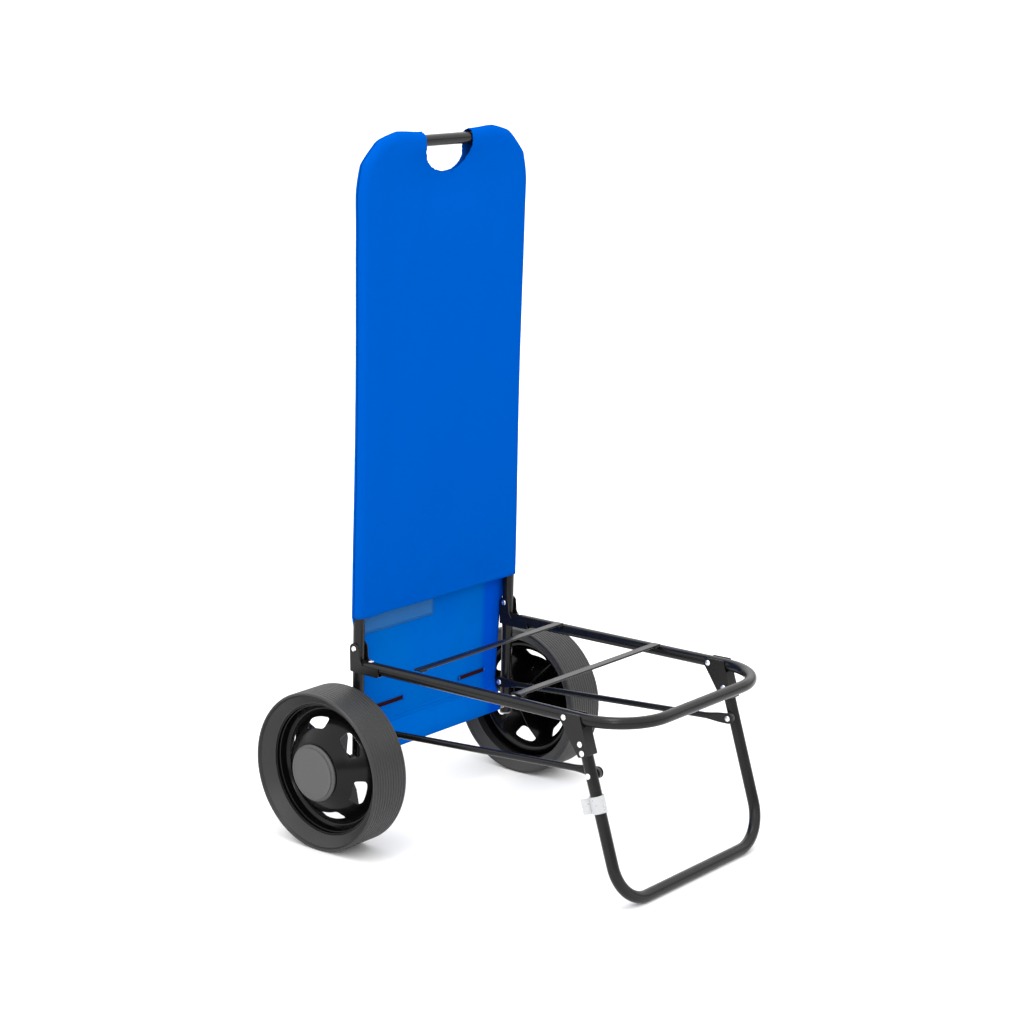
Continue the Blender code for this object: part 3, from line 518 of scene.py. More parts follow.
def bow(along):
    """How far the sleeve pulls an upright inwards, from nothing at the hem and the corner."""
    low, high = HEM, UPRIGHT_TOP - UPRIGHT_CORNER
    share = min(max((along - low) / (high - low), 0.0), 1.0)
    return BOW_DEPTH * math.sin(math.pi * share) ** 2


def make_upright_tube():
    corners = [Vector((x, 0.0, along)) for x, along in (
        (-HALF_WIDTH, UPRIGHT_FOOT), (-HALF_WIDTH, UPRIGHT_TOP),
        (HALF_WIDTH, UPRIGHT_TOP), (HALF_WIDTH, UPRIGHT_FOOT))]
    path = bent_path(corners, UPRIGHT_CORNER)
    for place in path:
        if abs(abs(place.x) - HALF_WIDTH) < 1e-6:
            place.x -= math.copysign(bow(place.z), place.x)
    tube = tube_piece("upright_tube", path, Vector((0.0, 1.0, 0.0)))
    tube.location = AXLE
    tube.rotation_euler = (LEAN, 0.0, 0.0)
    return dress(tube, "back_frame", "black_tube", COAT, "upright_frame")


def make_platform_tube():
    corners = [Vector((x, y, DECK)) for x, y in (
        (-HALF_WIDTH, DECK_HIGH.y), (-HALF_WIDTH, DECK_LOW.y + TUBE),
        (HALF_WIDTH, DECK_LOW.y + TUBE), (HALF_WIDTH, DECK_HIGH.y))]
    tube = tube_piece("platform_tube", bent_path(corners, PLATFORM_CORNER), Vector((0.0, 0.0, 1.0)))
    return dress(tube, "platform", "black_tube", COAT, "platform_frame")


def make_leg_tube():
    foot = (FOOT - KNEE).length
    corners = [on_leg(-HALF_WIDTH, LEG_TOP), on_leg(-HALF_WIDTH, foot),
               on_leg(HALF_WIDTH, foot), on_leg(HALF_WIDTH, LEG_TOP)]
    tube = tube_piece("leg_tube", bent_path(corners, LEG_CORNER), LEG_FRONT)
    return dress(tube, "leg", "black_tube", COAT, "leg_frame")


def build_tubes():
    make_upright_tube()
    make_platform_tube()
    make_leg_tube()


# ---------------------------------------------------------------- wheels

TYRE_LOW, TYRE_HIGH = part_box("tyre_right")
WHEEL_IN = TYRE_LOW.x
WHEEL_WIDTH = TYRE_HIGH.x - TYRE_LOW.x
WHEEL_RADIUS = (TYRE_HIGH.z - TYRE_LOW.z) / 2
RIM_SEAT = (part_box("rim_right")[1].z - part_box("rim_right")[0].z) / 2
CAP_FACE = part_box("hub_cap_right")[1].x - WHEEL_IN
CAP_RADIUS = (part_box("hub_cap_right")[1].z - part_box("hub_cap_right")[0].z) / 2
AXLE_RADIUS = (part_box("axle")[1].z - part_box("axle")[0].z) / 2
WHEEL_STEPS = 96
GROOVES = 11
GROOVE_PITCH = 0.0057
GROOVE_DEPTH = 0.0009
WINDOW_START = {"left": math.radians(41.5), "right": math.radians(22.0)}
WINDOWS = 6
WINDOW_ZONE = (0.0600, 0.0880)
WINDOW_MIDDLE = 0.0743
WINDOW_HALF = (math.radians(15.5), 0.0077)
BELL = ((0.0470, 0.0705), (0.0666, 0.0560), (0.0880, 0.0340))
RIM_WALL = 0.0022
RIB_HALF = 0.0011


def wheel_point(side, radius, depth, turn):
    """A point in a wheel's own frame; depth counts outwards from its inboard face."""
    return Vector((side * depth, -radius * math.cos(turn), radius * math.sin(turn)))


def wheel_rows(side, profile, start=0.0):
    turns = [start + 2 * math.pi * step / WHEEL_STEPS for step in range(WHEEL_STEPS)]
    return [[wheel_point(side, radius, depth, turn) for turn in turns] if radius > 1e-7
            else [wheel_point(side, 0.0, depth, 0.0)] for radius, depth in profile]


def wheel_piece(name, bm, side, angle=35.0):
    obj = piece(name, bm, angle)
    obj.location = (side * WHEEL_IN, AXLE.y, AXLE.z)
    return obj


def tyre_profile():
    """Sloping side walls, rounded shoulders and a tread with shallow grooves all the way round."""
    wide, high = WHEEL_WIDTH, WHEEL_RADIUS
    profile = [(RIM_SEAT + GAP, wide - 0.0200, 0), (0.1052, wide - 0.0196, 0.0006),
               (0.1192, wide - 0.0048, 0.0030), (0.1212, wide, 0.0012),
               (0.1236, wide, 0.0014), (high, wide - 0.0030, 0.0018)]
    for groove in range(GROOVES):
        place = wide / 2 + (GROOVES / 2 - 0.5 - groove) * GROOVE_PITCH
        profile += [(high, place + 0.0011, 0.0004), (high - GROOVE_DEPTH, place + 0.0006, 0.0004),
                    (high - GROOVE_DEPTH, place - 0.0006, 0.0004), (high, place - 0.0011, 0.0004)]
    profile += [(high, 0.0030, 0.0018), (0.1236, 0.0, 0.0014), (0.1205, 0.0, 0.0012),
                (0.1180, 0.0030, 0.0020), (0.1060, 0.0096, 0.0020), (RIM_SEAT + GAP, 0.0100, 0)]
    return fillet(profile, 3)


def make_tyre(side_name, side):
    bm = bmesh.new()
    skin(bm, wheel_rows(side, tyre_profile()), join_rows=True, join_columns=True)
    tyre = wheel_piece("tread_" + side_name, bm, side)
    return dress(tyre, "wheel_" + side_name, "tyre", TYRE, "tyre_" + side_name)


def bell_depth(radius):
    """Depth of the bell's outer face: the parabola through three points of its section."""
    (r0, d0), (r1, d1), (r2, d2) = BELL
    first = (d1 - d0) / (r1 - r0)
    second = ((d2 - d1) / (r2 - r1) - first) / (r2 - r0)
    return d0 + (radius - r0) * (first + second * (radius - r1))


def window_loops(middle):
    """Loops of (radius, turn) from a sector's edge in to its window's rounded outline."""
    low, high = WINDOW_ZONE
    half_turn = math.pi / WINDOWS
    across, up = WHEEL_STEPS // WINDOWS, 8
    edge = [(-1 + 2 * step / across, -1.0) for step in range(across)]
    edge += [(1.0, -1 + 2 * step / up) for step in range(up)]
    edge += [(1 - 2 * step / across, 1.0) for step in range(across)]
    edge += [(-1.0, 1 - 2 * step / up) for step in range(up)]
    loops = []
    for share in (0.0, 0.25, 0.5, 0.75, 0.9, 1.0):
        loop = []
        for p, q in edge:
            squash = (abs(p) ** 5 + abs(q) ** 5) ** -0.2
            inner = Vector((WINDOW_HALF[0] * p * squash, WINDOW_MIDDLE + WINDOW_HALF[1] * q * squash))
            outer = Vector((half_turn * p, low + (high - low) * (q + 1) / 2))
            place = outer.lerp(inner, share)
            loop.append((place.y, middle + place.x))
        loops.append(loop)
    return loops


def make_rim_shell(side_name, side):
    """Thin bell with six windows, the ring channel outside it and the barrel under the tyre."""
    start = WINDOW_START[side_name] - math.pi / WINDOWS
    low, high = WINDOW_ZONE
    mouth = [(0.0392, 0.0640, 0), (0.0392, 0.0710, 0.0008), (BELL[0][0], BELL[0][1], 0.0030)]
    neck = fillet(mouth + [(low, bell_depth(low), 0)], 4)
    outer = [(high, bell_depth(high), 0), (0.0915, 0.0302, 0.0030), (0.0968, 0.0352, 0.0030),
             (0.0990, 0.0452, 0.0006), (0.1004, 0.0456, 0.0006), (0.1012, 0.0508, 0.0008),
             (RIM_SEAT, 0.0508, 0.0008), (RIM_SEAT, 0.0250, 0)]
    bm = bmesh.new()
    skin(bm, wheel_rows(side, neck, start), join_columns=True)
    skin(bm, wheel_rows(side, fillet(outer, 4), start), join_columns=True)
    for window in range(WINDOWS):
        loops = window_loops(WINDOW_START[side_name] + window * 2 * math.pi / WINDOWS)
        rows = [[wheel_point(side, r, bell_depth(r), turn) for r, turn in loop] for loop in loops]
        skin(bm, rows, join_columns=True)
    shell = wheel_piece("rim_shell_" + side_name, bm, side, 30.0)
    top = max(shell.data.polygons, key=lambda face: side * face.center.x)
    if top.normal.x * side < 0:
        shell.data.flip_normals()
    wall = shell.modifiers.new("wall", "SOLIDIFY")
    wall.thickness = RIM_WALL
    wall.offset = -1.0
    soften(shell, 0.0006, 3, 50.0)
    return dress(shell, "wheel_" + side_name, "rim_plastic", RIM, "rim_" + side_name)


def make_rim_core(side_name, side):
    """The hub tube, its cap seat, and six triangular ribs that carry the bell."""
    bore, hub = AXLE_RADIUS + GAP, 0.0150
    profile = [(bore, 0.0640, 0), (0.0390, 0.0640, 0.0004), (0.0390, 0.0604, 0.0004),
               (hub, 0.0604, 0.0030), (hub, 0.0015, 0.0010), (bore, 0.0015, 0)]
    bm = bmesh.new()
    skin(bm, wheel_rows(side, fillet(profile, 4)), join_rows=True, join_columns=True)
    outline = [(hub - 0.0010, 0.0612), (0.0398, 0.0612), (0.0440, 0.0688), (0.0660, 0.0545),
               (0.0862, 0.0342), (0.0820, 0.0300), (0.0480, 0.0130), (hub - 0.0010, 0.0060)]
    for rib in range(WINDOWS):
        turn = WINDOW_START[side_name] + (rib + 0.5) * 2 * math.pi / WINDOWS
        tangent = Vector((0.0, math.sin(turn), math.cos(turn)))
        capped(bm, [[wheel_point(side, r, d, turn) + tangent * half for r, d in outline]
                    for half in (-RIB_HALF, RIB_HALF)])
    core = soften(wheel_piece("rim_core_" + side_name, bm, side), 0.0005)
    return dress(core, "wheel_" + side_name, "rim_plastic", RIM)


def make_cap(side_name, side):
    """A push-in cap with a raised disc, a bevelled flange and a skirt inside the hub's mouth."""
    disc, skirt = 0.0403, 0.0387
    profile = [(0.0, CAP_FACE - 0.0004, 0), (disc - 0.0040, CAP_FACE - 0.0004, 0.0010),
               (disc - 0.0024, CAP_FACE, 0.0010), (disc, CAP_FACE, 0.0014), (disc, 0.0764, 0.0005),
               (disc + 0.0022, 0.0760, 0.0010), (CAP_RADIUS, 0.0738, 0.0008),
               (CAP_RADIUS, 0.0713, 0.0005), (skirt, 0.0713, 0), (skirt, 0.0660, 0.0005),
               (skirt - 0.0020, 0.0660, 0.0005), (skirt - 0.0020, CAP_FACE - 0.0020, 0),
               (0.0, CAP_FACE - 0.0020, 0)]
    bm = bmesh.new()
    skin(bm, wheel_rows(side, fillet(profile, 5)), join_columns=True)
    cap = wheel_piece("cap_" + side_name, bm, side)
    return dress(cap, "wheel_" + side_name, "hub_cap_plastic", CAP, "hub_cap_" + side_name)


def build_wheels():
    for side_name, side in SIDES.items():
        make_tyre(side_name, side)
        make_rim_shell(side_name, side)
        make_rim_core(side_name, side)
        make_cap(side_name, side)


# ---------------------------------------------------------------- fasteners, spacers and plugs

SHANK = 0.0025
HEAD = 0.0045
HEAD_RISE = 0.0020
HEAD_RIM = 0.0003


def dome(sign, seat):
    """(radius, height) points of a round rivet head from its rim to the set mark in its crown."""
    points = [(HEAD, seat), (HEAD, seat + sign * HEAD_RIM)]
    for step in range(1, 7):
        turn = step / 7 * math.pi / 2
        rise = HEAD_RIM + (HEAD_RISE - HEAD_RIM) * math.sin(turn)
        points.append((HEAD * math.cos(turn), seat + sign * rise))
    return points + [(0.0009, seat + sign * HEAD_RISE), (0.0006, seat + sign * (HEAD_RISE - HEAD_RIM)),
                     (0.0, seat + sign * (HEAD_RISE - HEAD_RIM))]


def make_rivet(node, body, heads=(1, -1)):
    """A round-headed rivet in the CAD rivet's place; heads says which ends have one."""
    low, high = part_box(node)
    span = high - low
    axis = Vector((0.0, 0.0, 1.0)) if span.z > max(span.x, span.y) else Vector((1.0, 0.0, 0.0))
    if len(heads) == 1:
        axis = Vector((1.0, 0.0, 0.0))
    half = span.dot(axis) / 2
    ends = {sign: half - (HEAD_RISE if sign in heads else 0.0) for sign in (1, -1)}
    profile = []
    for sign in (1, -1):
        seat = sign * ends[sign]
        end = dome(sign, seat)[::-1] if sign in heads else [(0.0, seat)]
        end = end + [(SHANK, seat)]
        profile += end if sign == 1 else end[::-1]
    bm = bmesh.new()
    turned(bm, profile, Vector(), axis, 32, closed=False)
    obj = piece(node + "_round", bm, 40.0)
    obj.location = (low + high) / 2
    return dress(obj, body, "bright_steel", ZINC, node)


def make_ring(node, body, slot, material, inner, edge):
    """A spacer or washer with rounded edges in the CAD ring's place."""
    low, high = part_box(node)
    half, outer = (high.x - low.x) / 2, (high.z - low.z) / 2
    profile = [(inner, half, edge / 2), (outer, half, edge), (outer, -half, edge), (inner, -half, edge / 2)]
    profile = fillet([(inner, 0.0, 0)] + profile + [(inner, 0.0, 0)], 4)[:-1]
    bm = bmesh.new()
    turned(bm, profile, Vector(), Vector((1.0, 0.0, 0.0)), 40)
    obj = piece(node + "_round", bm)
    obj.location = (low + high) / 2
    return dress(obj, body, slot, material, node)


def make_plug(side_name, side):
    """A push-in tube plug: a flange with a chamfered foot, and a stem inside the upright."""
    stem = TUBE - TUBE_WALL - GAP
    profile = [(0.0, 0.0045, 0), (stem, 0.0045, 0.0008), (stem, -GAP, 0.0), (TUBE, -GAP, 0.0003),
               (TUBE, -0.0020, 0.0012), (TUBE - 0.0016, -0.0032, 0.0008), (0.0, -0.0032, 0)]
    bm = bmesh.new()
    turned(bm, fillet(profile, 4), Vector((side * HALF_WIDTH, 0.0, UPRIGHT_FOOT)),
           Vector((0.0, 0.0, 1.0)), 40, closed=False)
    plug = lean(piece("foot_plug_" + side_name, bm))
    return dress(plug, "back_frame", "plug_plastic", PLUG, "upright_plug_" + side_name)


RIVETS = (("platform_pivot_rivet_", "back_frame"), ("strut_pivot_rivet_", "back_frame"),
          ("clevis_rivet_", "platform"), ("leg_pivot_rivet_", "platform"),
          ("leg_bracket_rivet_upper_", "leg"), ("leg_bracket_rivet_lower_", "leg"))
RINGS = (("strut_pivot_spacer_", "back_frame", "spacer_plastic", SPACER, SHANK + GAP, 0.0008),
         ("strut_leg_spacer_", "leg", "spacer_plastic", SPACER, SHANK + GAP, 0.0008),
         ("axle_spacer_", "back_frame", "spacer_plastic", SPACER, AXLE_RADIUS + GAP, 0.0010),
         ("axle_washer_", "back_frame", "bright_steel", ZINC, AXLE_RADIUS + GAP, 0.0004),
         ("axle_push_nut_", "back_frame", "bright_steel", ZINC, AXLE_RADIUS + GAP, 0.0004))


def build_fasteners():
    for side_name, side in SIDES.items():
        outward = 1 if side > 0 else -1
        for node, body in RIVETS:
            make_rivet(node + side_name, body)
        make_rivet("strut_leg_rivet_" + side_name, "leg", (outward,))
        make_rivet("strut_inner_head_" + side_name, "struts", (-outward,))
        for node, *settings in RINGS:
            make_ring(node + side_name, *settings)
        make_plug(side_name, side)


# ---------------------------------------------------------------- struts, crossbars, brackets, clip

STRUT_TUBE = 0.0050
STRUT_FLAT = 0.0030
STRUT_EYE = 0.0080


def strut_sections(length):
    """(distance, width, thickness) along a strut whose tube is pressed flat into a round eye."""
    sections = []
    for step in range(9):
        turn = math.pi / 2 * (1 - step / 8)
        sections.append((-STRUT_EYE * 0.97 * math.sin(turn), 2 * STRUT_EYE * math.cos(turn) + 0.001,
                         STRUT_FLAT - 0.0008 * math.sin(turn) ** 4))
    for step in range(1, 11):
        share = step / 10
        ease = share * share * (3 - 2 * share)
        sections.append((0.010 + 0.034 * share, 2 * (STRUT_EYE + (STRUT_TUBE - STRUT_EYE) * ease),
                         STRUT_FLAT + (2 * STRUT_TUBE - STRUT_FLAT) * ease))
    return sections + [(length - d, width, thick) for d, width, thick in sections[::-1]]


def make_strut(side_name):
    x = centre("strut_" + side_name).x
    start = Vector((x, STRUT_PIVOT.y, STRUT_PIVOT.z))
    end = Vector((x, KNEE.y, KNEE.z))
    along = (end - start).normalized()
    across = along.cross(Vector((1.0, 0.0, 0.0))).normalized()
    sides = 28
    rows = []
    for distance, width, thick in strut_sections((end - start).length):
        roundness = (thick - STRUT_FLAT) / (2 * STRUT_TUBE - STRUT_FLAT)
        power = 0.30 + 0.70 * min(max(roundness, 0.0), 1.0)
        row = []
        for index in range(sides):
            turn = 2 * math.pi * (index + 0.5) / sides
            u = math.copysign(abs(math.cos(turn)) ** power, math.cos(turn)) * width / 2
            v = math.copysign(abs(math.sin(turn)) ** power, math.sin(turn)) * thick / 2
            row.append(along * distance + across * u + Vector((v, 0.0, 0.0)))
        rows.append(row)
    bm = bmesh.new()
    capped(bm, rows)
    strut = piece("strut_bar_" + side_name, bm, 50.0)
    strut.location = start
    return dress(strut, "struts", "black_tube", COAT, "strut_" + side_name)


def carve(obj, operation, *cutters):
    """Cut or join other shapes for good, and remove them."""
    for cutter in cutters:
        boolean = obj.modifiers.new("cut", "BOOLEAN")
        boolean.operation = operation
        boolean.solver = "EXACT"
        boolean.object = cutter
    bpy.context.view_layer.update()
    evaluated = obj.evaluated_get(bpy.context.evaluated_depsgraph_get())
    mesh = bpy.data.meshes.new_from_object(evaluated)
    obj.modifiers.clear()
    obj.data = mesh
    for cutter in cutters:
        bpy.data.objects.remove(cutter, do_unlink=True)
    return obj


def block(size, place, tilt=0.0, edge=0.0):
    """A box cutter, turned about X, with rounded long edges."""
    bm = bmesh.new()
    bmesh.ops.create_cube(bm, size=1.0, matrix=Matrix.Diagonal((*size, 1.0)))
    if edge:
        bmesh.ops.bevel(bm, geom=bm.edges[:], offset=edge, segments=3, affect="EDGES", profile=0.5)
    obj = piece("block", bm)
    obj.location = place
    obj.rotation_euler = (tilt, 0.0, 0.0)
    return obj


def rod(radius, length, place, axis, sides=48):
    bm = bmesh.new()
    turned(bm, [(0.0, length / 2), (radius, length / 2), (radius, -length / 2), (0.0, -length / 2)],
           Vector(), axis, sides, closed=False)
    obj = piece("rod", bm)
    obj.location = place
    return obj


def make_crossbar(node):
    """A flat bar with rounded edges across the rails, and a small weld bead at each end."""
    low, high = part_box(node)
    y, z = (low.y + high.y) / 2, (low.z + high.z) / 2
    half_wide, half_thick = (high.y - low.y) / 2, (high.z - low.z) / 2
    corners = [(y + a * half_wide, z + b * half_thick, 0.0011)
               for a, b in ((-1, -1), (1, -1), (1, 1), (-1, 1))]
    outline = fillet([(y, z - half_thick, 0)] + corners[1:] + corners[:1]
                     + [(y, z - half_thick, 0)], 4)[:-1]
    bm = bmesh.new()
    prism(bm, outline, low.x, high.x)
    for side in SIDES.values():
        for edge in (-1, 1):
            rows = []
            for step in range(9):
                share = step / 8
                size = 0.0013 + 0.0004 * math.sin(share * 23.0)
                place = Vector((side * (high.x - 0.002 - 0.012 * share), y + edge * (half_wide - 0.0004),
                                z - half_thick - 0.0004))
                rows.append(ring_points(place, Vector((1, 0, 0)), Vector((0, 0, 1)), size, 10))
            capped(bm, rows)
    bar = soften(piece(node + "_bar", bm), 0.0006)
    return dress(bar, "platform", "black_tube", COAT, node)


CLEVIS_STEP = 0.2880


def clevis_outline():
    """Side view, (y, z): an ear with a round top on the upright, and a low wall along the rail."""
    low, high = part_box("clevis_bracket_left")
    radius = high.z - FOLD.z
    ear = []
    for step in range(17):
        turn = math.pi * (1 - step / 16)
        ear.append((FOLD.y - radius * math.cos(turn), FOLD.z + radius * math.sin(turn)))
    rear = DECK_HIGH.y
    rest = [ear[-1] + (0,), (rear, CLEVIS_STEP, 0.0040), (rear - 0.0050, DECK + 0.0030, 0.0030),
            (low.y, DECK + 0.0030, 0.0015), (low.y, low.z, 0.0025), (rear, low.z, 0.0040),
            (ear[0][0], low.z + 0.0015, 0.0020), ear[0] + (0,)]
    return ear + fillet(rest, 4)[1:-1]


def make_clevis(side_name, side):
    x = side * HALF_WIDTH
    low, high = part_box("clevis_bracket_" + side_name)
    bm = bmesh.new()
    prism(bm, clevis_outline(), low.x, high.x)
    clevis = piece("clevis_" + side_name, bm)
    inner, rear = 2 * CHANNEL_INNER, DECK_HIGH.y
    carve(clevis, "DIFFERENCE",
          block((inner, 0.2, 0.1), (x, AXLE.y, DECK - CHANNEL_INNER + 0.05), edge=0.0012),
          block((inner, 0.1, 0.2), (x, rear + 0.05, DECK)))
    return dress(soften(clevis, 0.0005), "platform", "black_tube", COAT, "clevis_bracket_" + side_name)


def leg_bracket_outline():
    """Side view, (y, z): round the pivot, along the rail, down the leg's front and back up."""
    low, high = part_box("leg_bracket_left")
    eye = Vector((LEG_PIVOT.y, DECK))
    radius = high.z - DECK
    back_reach = -0.0085
    foot_down = (low.z - KNEE.z - LEG_FRONT.z * back_reach) / LEG_AXIS.z
    front = on_leg(0.0, foot_down, CHANNEL_OUTER)
    back = on_leg(0.0, foot_down, back_reach)
    top_y = front.y + LEG_AXIS.y / LEG_AXIS.z * (high.z - front.z)
    arc = []
    for step in range(12):
        turn = math.radians(215 - 105 * step / 11)
        arc.append((eye.x - radius * math.cos(turn), eye.y + radius * math.sin(turn)))
    rest = [arc[-1] + (0,), (top_y, high.z, 0.0030), (front.y, front.z, 0.0020),
            (back.y, back.z, 0.0030), arc[0] + (0,)]
    return arc + fillet(rest, 4)[1:-1]


def make_leg_bracket(side_name, side):
    x = side * HALF_WIDTH
    node = "leg_bracket_" + side_name
    low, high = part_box(node)
    bm = bmesh.new()
    prism(bm, leg_bracket_outline(), low.x, high.x)
    bracket = piece("leg_channel_" + side_name, bm)
    tilt = -math.atan2(-LEG_AXIS.y, -LEG_AXIS.z)
    inside = on_leg(x, (low.z - KNEE.z) / LEG_AXIS.z, CHANNEL_INNER - 0.06)
    carve(bracket, "DIFFERENCE",
          block((2 * CHANNEL_INNER, 0.12, 0.3), inside, tilt, 0.0012),
          block((2 * CHANNEL_INNER, 0.2, 0.1), (x, LEG_PIVOT.y, DECK - CHANNEL_INNER + 0.05)))
    return dress(soften(bracket, 0.0005), "leg", "black_tube", COAT, node)


CLIP_MIDDLE = 0.0433
CLIP_LENGTH = 0.025
CLIP_WALL = 0.0022
CLIP_SPREAD = 0.01857
CLIP_MOUTH = 0.0035


def make_clip():
    """A ring on the left leg with an open jaw behind it, in one milky moulding."""
    inner, outer = TUBE + GAP, TUBE + GAP + CLIP_WALL
    middle = on_leg(-HALF_WIDTH, CLIP_MIDDLE)
    behind = -LEG_FRONT
    tilt = -math.atan2(-LEG_AXIS.y, -LEG_AXIS.z)
    jaw = middle + behind * CLIP_SPREAD
    clip = rod(outer, CLIP_LENGTH, middle, LEG_AXIS)
    clip.name = "snap_clip"
    carve(clip, "UNION", rod(outer, CLIP_LENGTH * 0.92, jaw, LEG_AXIS))
    carve(clip, "DIFFERENCE",
          block((0.04, 0.04, 0.06), middle + behind * (CLIP_SPREAD + CLIP_MOUTH + 0.02), tilt),
          rod(inner, 0.06, middle, LEG_AXIS), rod(inner, 0.06, jaw, LEG_AXIS),
          block((2 * inner, 0.02, 0.06), middle + behind * (CLIP_SPREAD + 0.01), tilt))
    return dress(soften(clip, 0.0005, 3), "leg", "clip_plastic", CLIP, "fold_clip")


def build_hardware():
    for side_name, side in SIDES.items():
        make_strut(side_name)
        make_clevis(side_name, side)
        make_leg_bracket(side_name, side)
    for node in ("crossbar_rear", "crossbar_front"):
        make_crossbar(node)
    make_clip()


# ---------------------------------------------------------------- fabric sleeve

CELL = 0.0045
COLUMNS = 44
CORNER_ROWS = 24
BAND_ROWS = 7
FACE = 0.0105
CLOTH_THICK = 0.0007
SIDE_REACH = 0.0101
RIDGE = 0.0010
NOTCH = (0.054, 0.049)
NOTCH_POWER = 2.15
HEM_FOLD = 0.020
WAIST = 0.155
WAIST_HALF_WIDTH = 0.172
FOOT_HALF_WIDTH = 0.161
AXLE_WRAP = AXLE_RADIUS + GAP
EDGE_DROP = 0.057
EDGE_STEPS = 8
LOOP_TOP = 0.008
HANG_TOP = 0.046
TAIL_LIFT = 0.0012
LOOP_TAIL = ((0.012, 0.0052), (0.022, 0.0030), (0.032, 0.0016), (0.048, TAIL_LIFT))


def lean(obj):
    """Place a piece that is modelled in the uprights' own axes: across, behind, along."""
    obj.location = AXLE
    obj.rotation_euler = (LEAN, 0.0, 0.0)
    return obj


def ease(value, low, high):
    share = min(max((value - low) / (high - low), 0.0), 1.0)
    return share * share * (3 - 2 * share)


# Soft tension folds: start and end (across, along), half width, height, which panel
FOLDS = (
    ((-0.165, 0.860), (-0.020, 0.560), 0.020, 0.0011, "front"),
    ((0.165, 0.870), (0.060, 0.600), 0.016, 0.0012, "front"),
    ((-0.045, 0.885), (-0.120, 0.700), 0.014, 0.0009, "front"),
    ((0.050, 0.885), (0.110, 0.720), 0.014, 0.0010, "front"),
    ((0.140, 0.800), (0.146, 0.300), 0.011, 0.0013, "front"),
    ((0.118, 0.720), (0.128, 0.330), 0.009, 0.0008, "front"),
    ((-0.150, 0.760), (-0.145, 0.350), 0.010, 0.0008, "front"),
    ((-0.100, 0.240), (0.030, 0.300), 0.012, 0.0007, "front"),
    ((0.150, 0.870), (-0.040, 0.500), 0.022, 0.0012, "back"),
    ((-0.150, 0.870), (0.080, 0.520), 0.020, 0.0012, "back"),
    ((0.150, 0.210), (0.020, 0.060), 0.014, 0.0012, "back"),
    ((-0.150, 0.205), (-0.040, 0.030), 0.016, 0.0012, "back"),
    ((0.138, 0.200), (0.130, 0.030), 0.008, 0.0012, "back"),
    ((0.020, 0.180), (0.120, 0.060), 0.014, 0.0009, "back"),
)


def fold_height(x, along, panel):
    """Sum of the panel's tension folds, each a soft ridge that fades at both ends."""
    total = 0.0
    for start, end, width, height, where in FOLDS:
        if where != panel:
            continue
        first, last = Vector(start), Vector(end)
        span = last - first
        share = min(max((Vector((x, along)) - first).dot(span) / span.length_squared, 0.0), 1.0)
        gap = (Vector((x, along)) - first.lerp(last, share)).length
        total += height * math.exp(-(gap / width) ** 2) * math.sin(math.pi * (0.15 + 0.7 * share))
    return total


def notch_share(x, along, scale=1.0):
    """Less than 1 inside the hand notch, which is close to a half ellipse."""
    below = abs(along - UPRIGHT_TOP) / (NOTCH[1] * scale)
    return (abs(x) / (NOTCH[0] * scale)) ** NOTCH_POWER + below ** NOTCH_POWER


def pinch(x, along):
    """How far the sewn notch draws the two panels together at its foot."""
    gap = Vector((x * 0.8, along - (UPRIGHT_TOP - NOTCH[1]))).length
    return 0.0088 * math.exp(-(gap / 0.060) ** 2) * ease(UPRIGHT_TOP - along, 0.006, 0.030)


def slack(x, along, panel):
    """How far a panel hangs in from the plane of its tubes."""
    low_edge = 1.0 if panel == "front" else ease(along, 0.012, 0.060)
    inside = 1 - ease(abs(x), 0.110, 0.168)
    middle = inside * (1 - ease(along, UPRIGHT_TOP - 0.075, UPRIGHT_TOP - 0.012)) * low_edge
    seed = 3.0 if panel == "front" else 17.0
    broad = noise.noise(Vector((x * 11.0, along * 4.5, seed)))
    small = noise.noise(Vector((x * 34.0, along * 13.0, seed + 5.0)))
    free = 1 - ease(abs(x), 0.150, 0.170)
    return pinch(x, along) + middle * (0.0020 + 0.0014 * broad) + free * low_edge * (
        0.0005 * small + 0.0004) - free * fold_height(x, along, panel) * low_edge * 0.9


def face_depth(x, along, panel):
    """Distance of a panel's outer face from the plane of the uprights' axes."""
    return FACE - max(slack(x, along, panel), -0.0012)


def arch_rows():
    """(along, half width, turn of the outline) of the flat face's rows, from hem to top."""
    shoulder = UPRIGHT_TOP - UPRIGHT_CORNER
    steps = round((shoulder - HEM) / CELL)
    rows = []
    for step in range(steps):
        along = HEM + (shoulder - HEM) * step / steps
        rows.append((along, HALF_WIDTH - bow(along), 0.0))
    for step in range(CORNER_ROWS + 1):
        turn = math.pi / 2 * step / CORNER_ROWS
        rows.append((shoulder + UPRIGHT_CORNER * math.sin(turn),
                     HALF_WIDTH - UPRIGHT_CORNER * (1 - math.cos(turn)), turn))
    return rows


SHOULDER_KINKS = ((0.0, 0.0118), (30.0, 0.0150), (62.0, 0.0152), (90.0, 0.0154))


def shoulder_reach(turn):
    """Reach round a corner whose seam runs nearly straight between a few kinks."""
    for (low, first), (high, last) in zip(SHOULDER_KINKS, SHOULDER_KINKS[1:]):
        start, end = math.radians(low), math.radians(high)
        if turn <= end + 1e-6:
            break
    ends = [Vector((math.cos(angle), math.sin(angle))) * (UPRIGHT_CORNER + out)
            for angle, out in ((start, first), (end, last))]
    ray = Vector((math.cos(turn), math.sin(turn)))
    chord = ends[1] - ends[0]
    straight = ends[0].cross(chord) / ray.cross(chord) - UPRIGHT_CORNER
    share = (turn - start) / (end - start)
    return 0.75 * straight + 0.25 * (first + (last - first) * share)


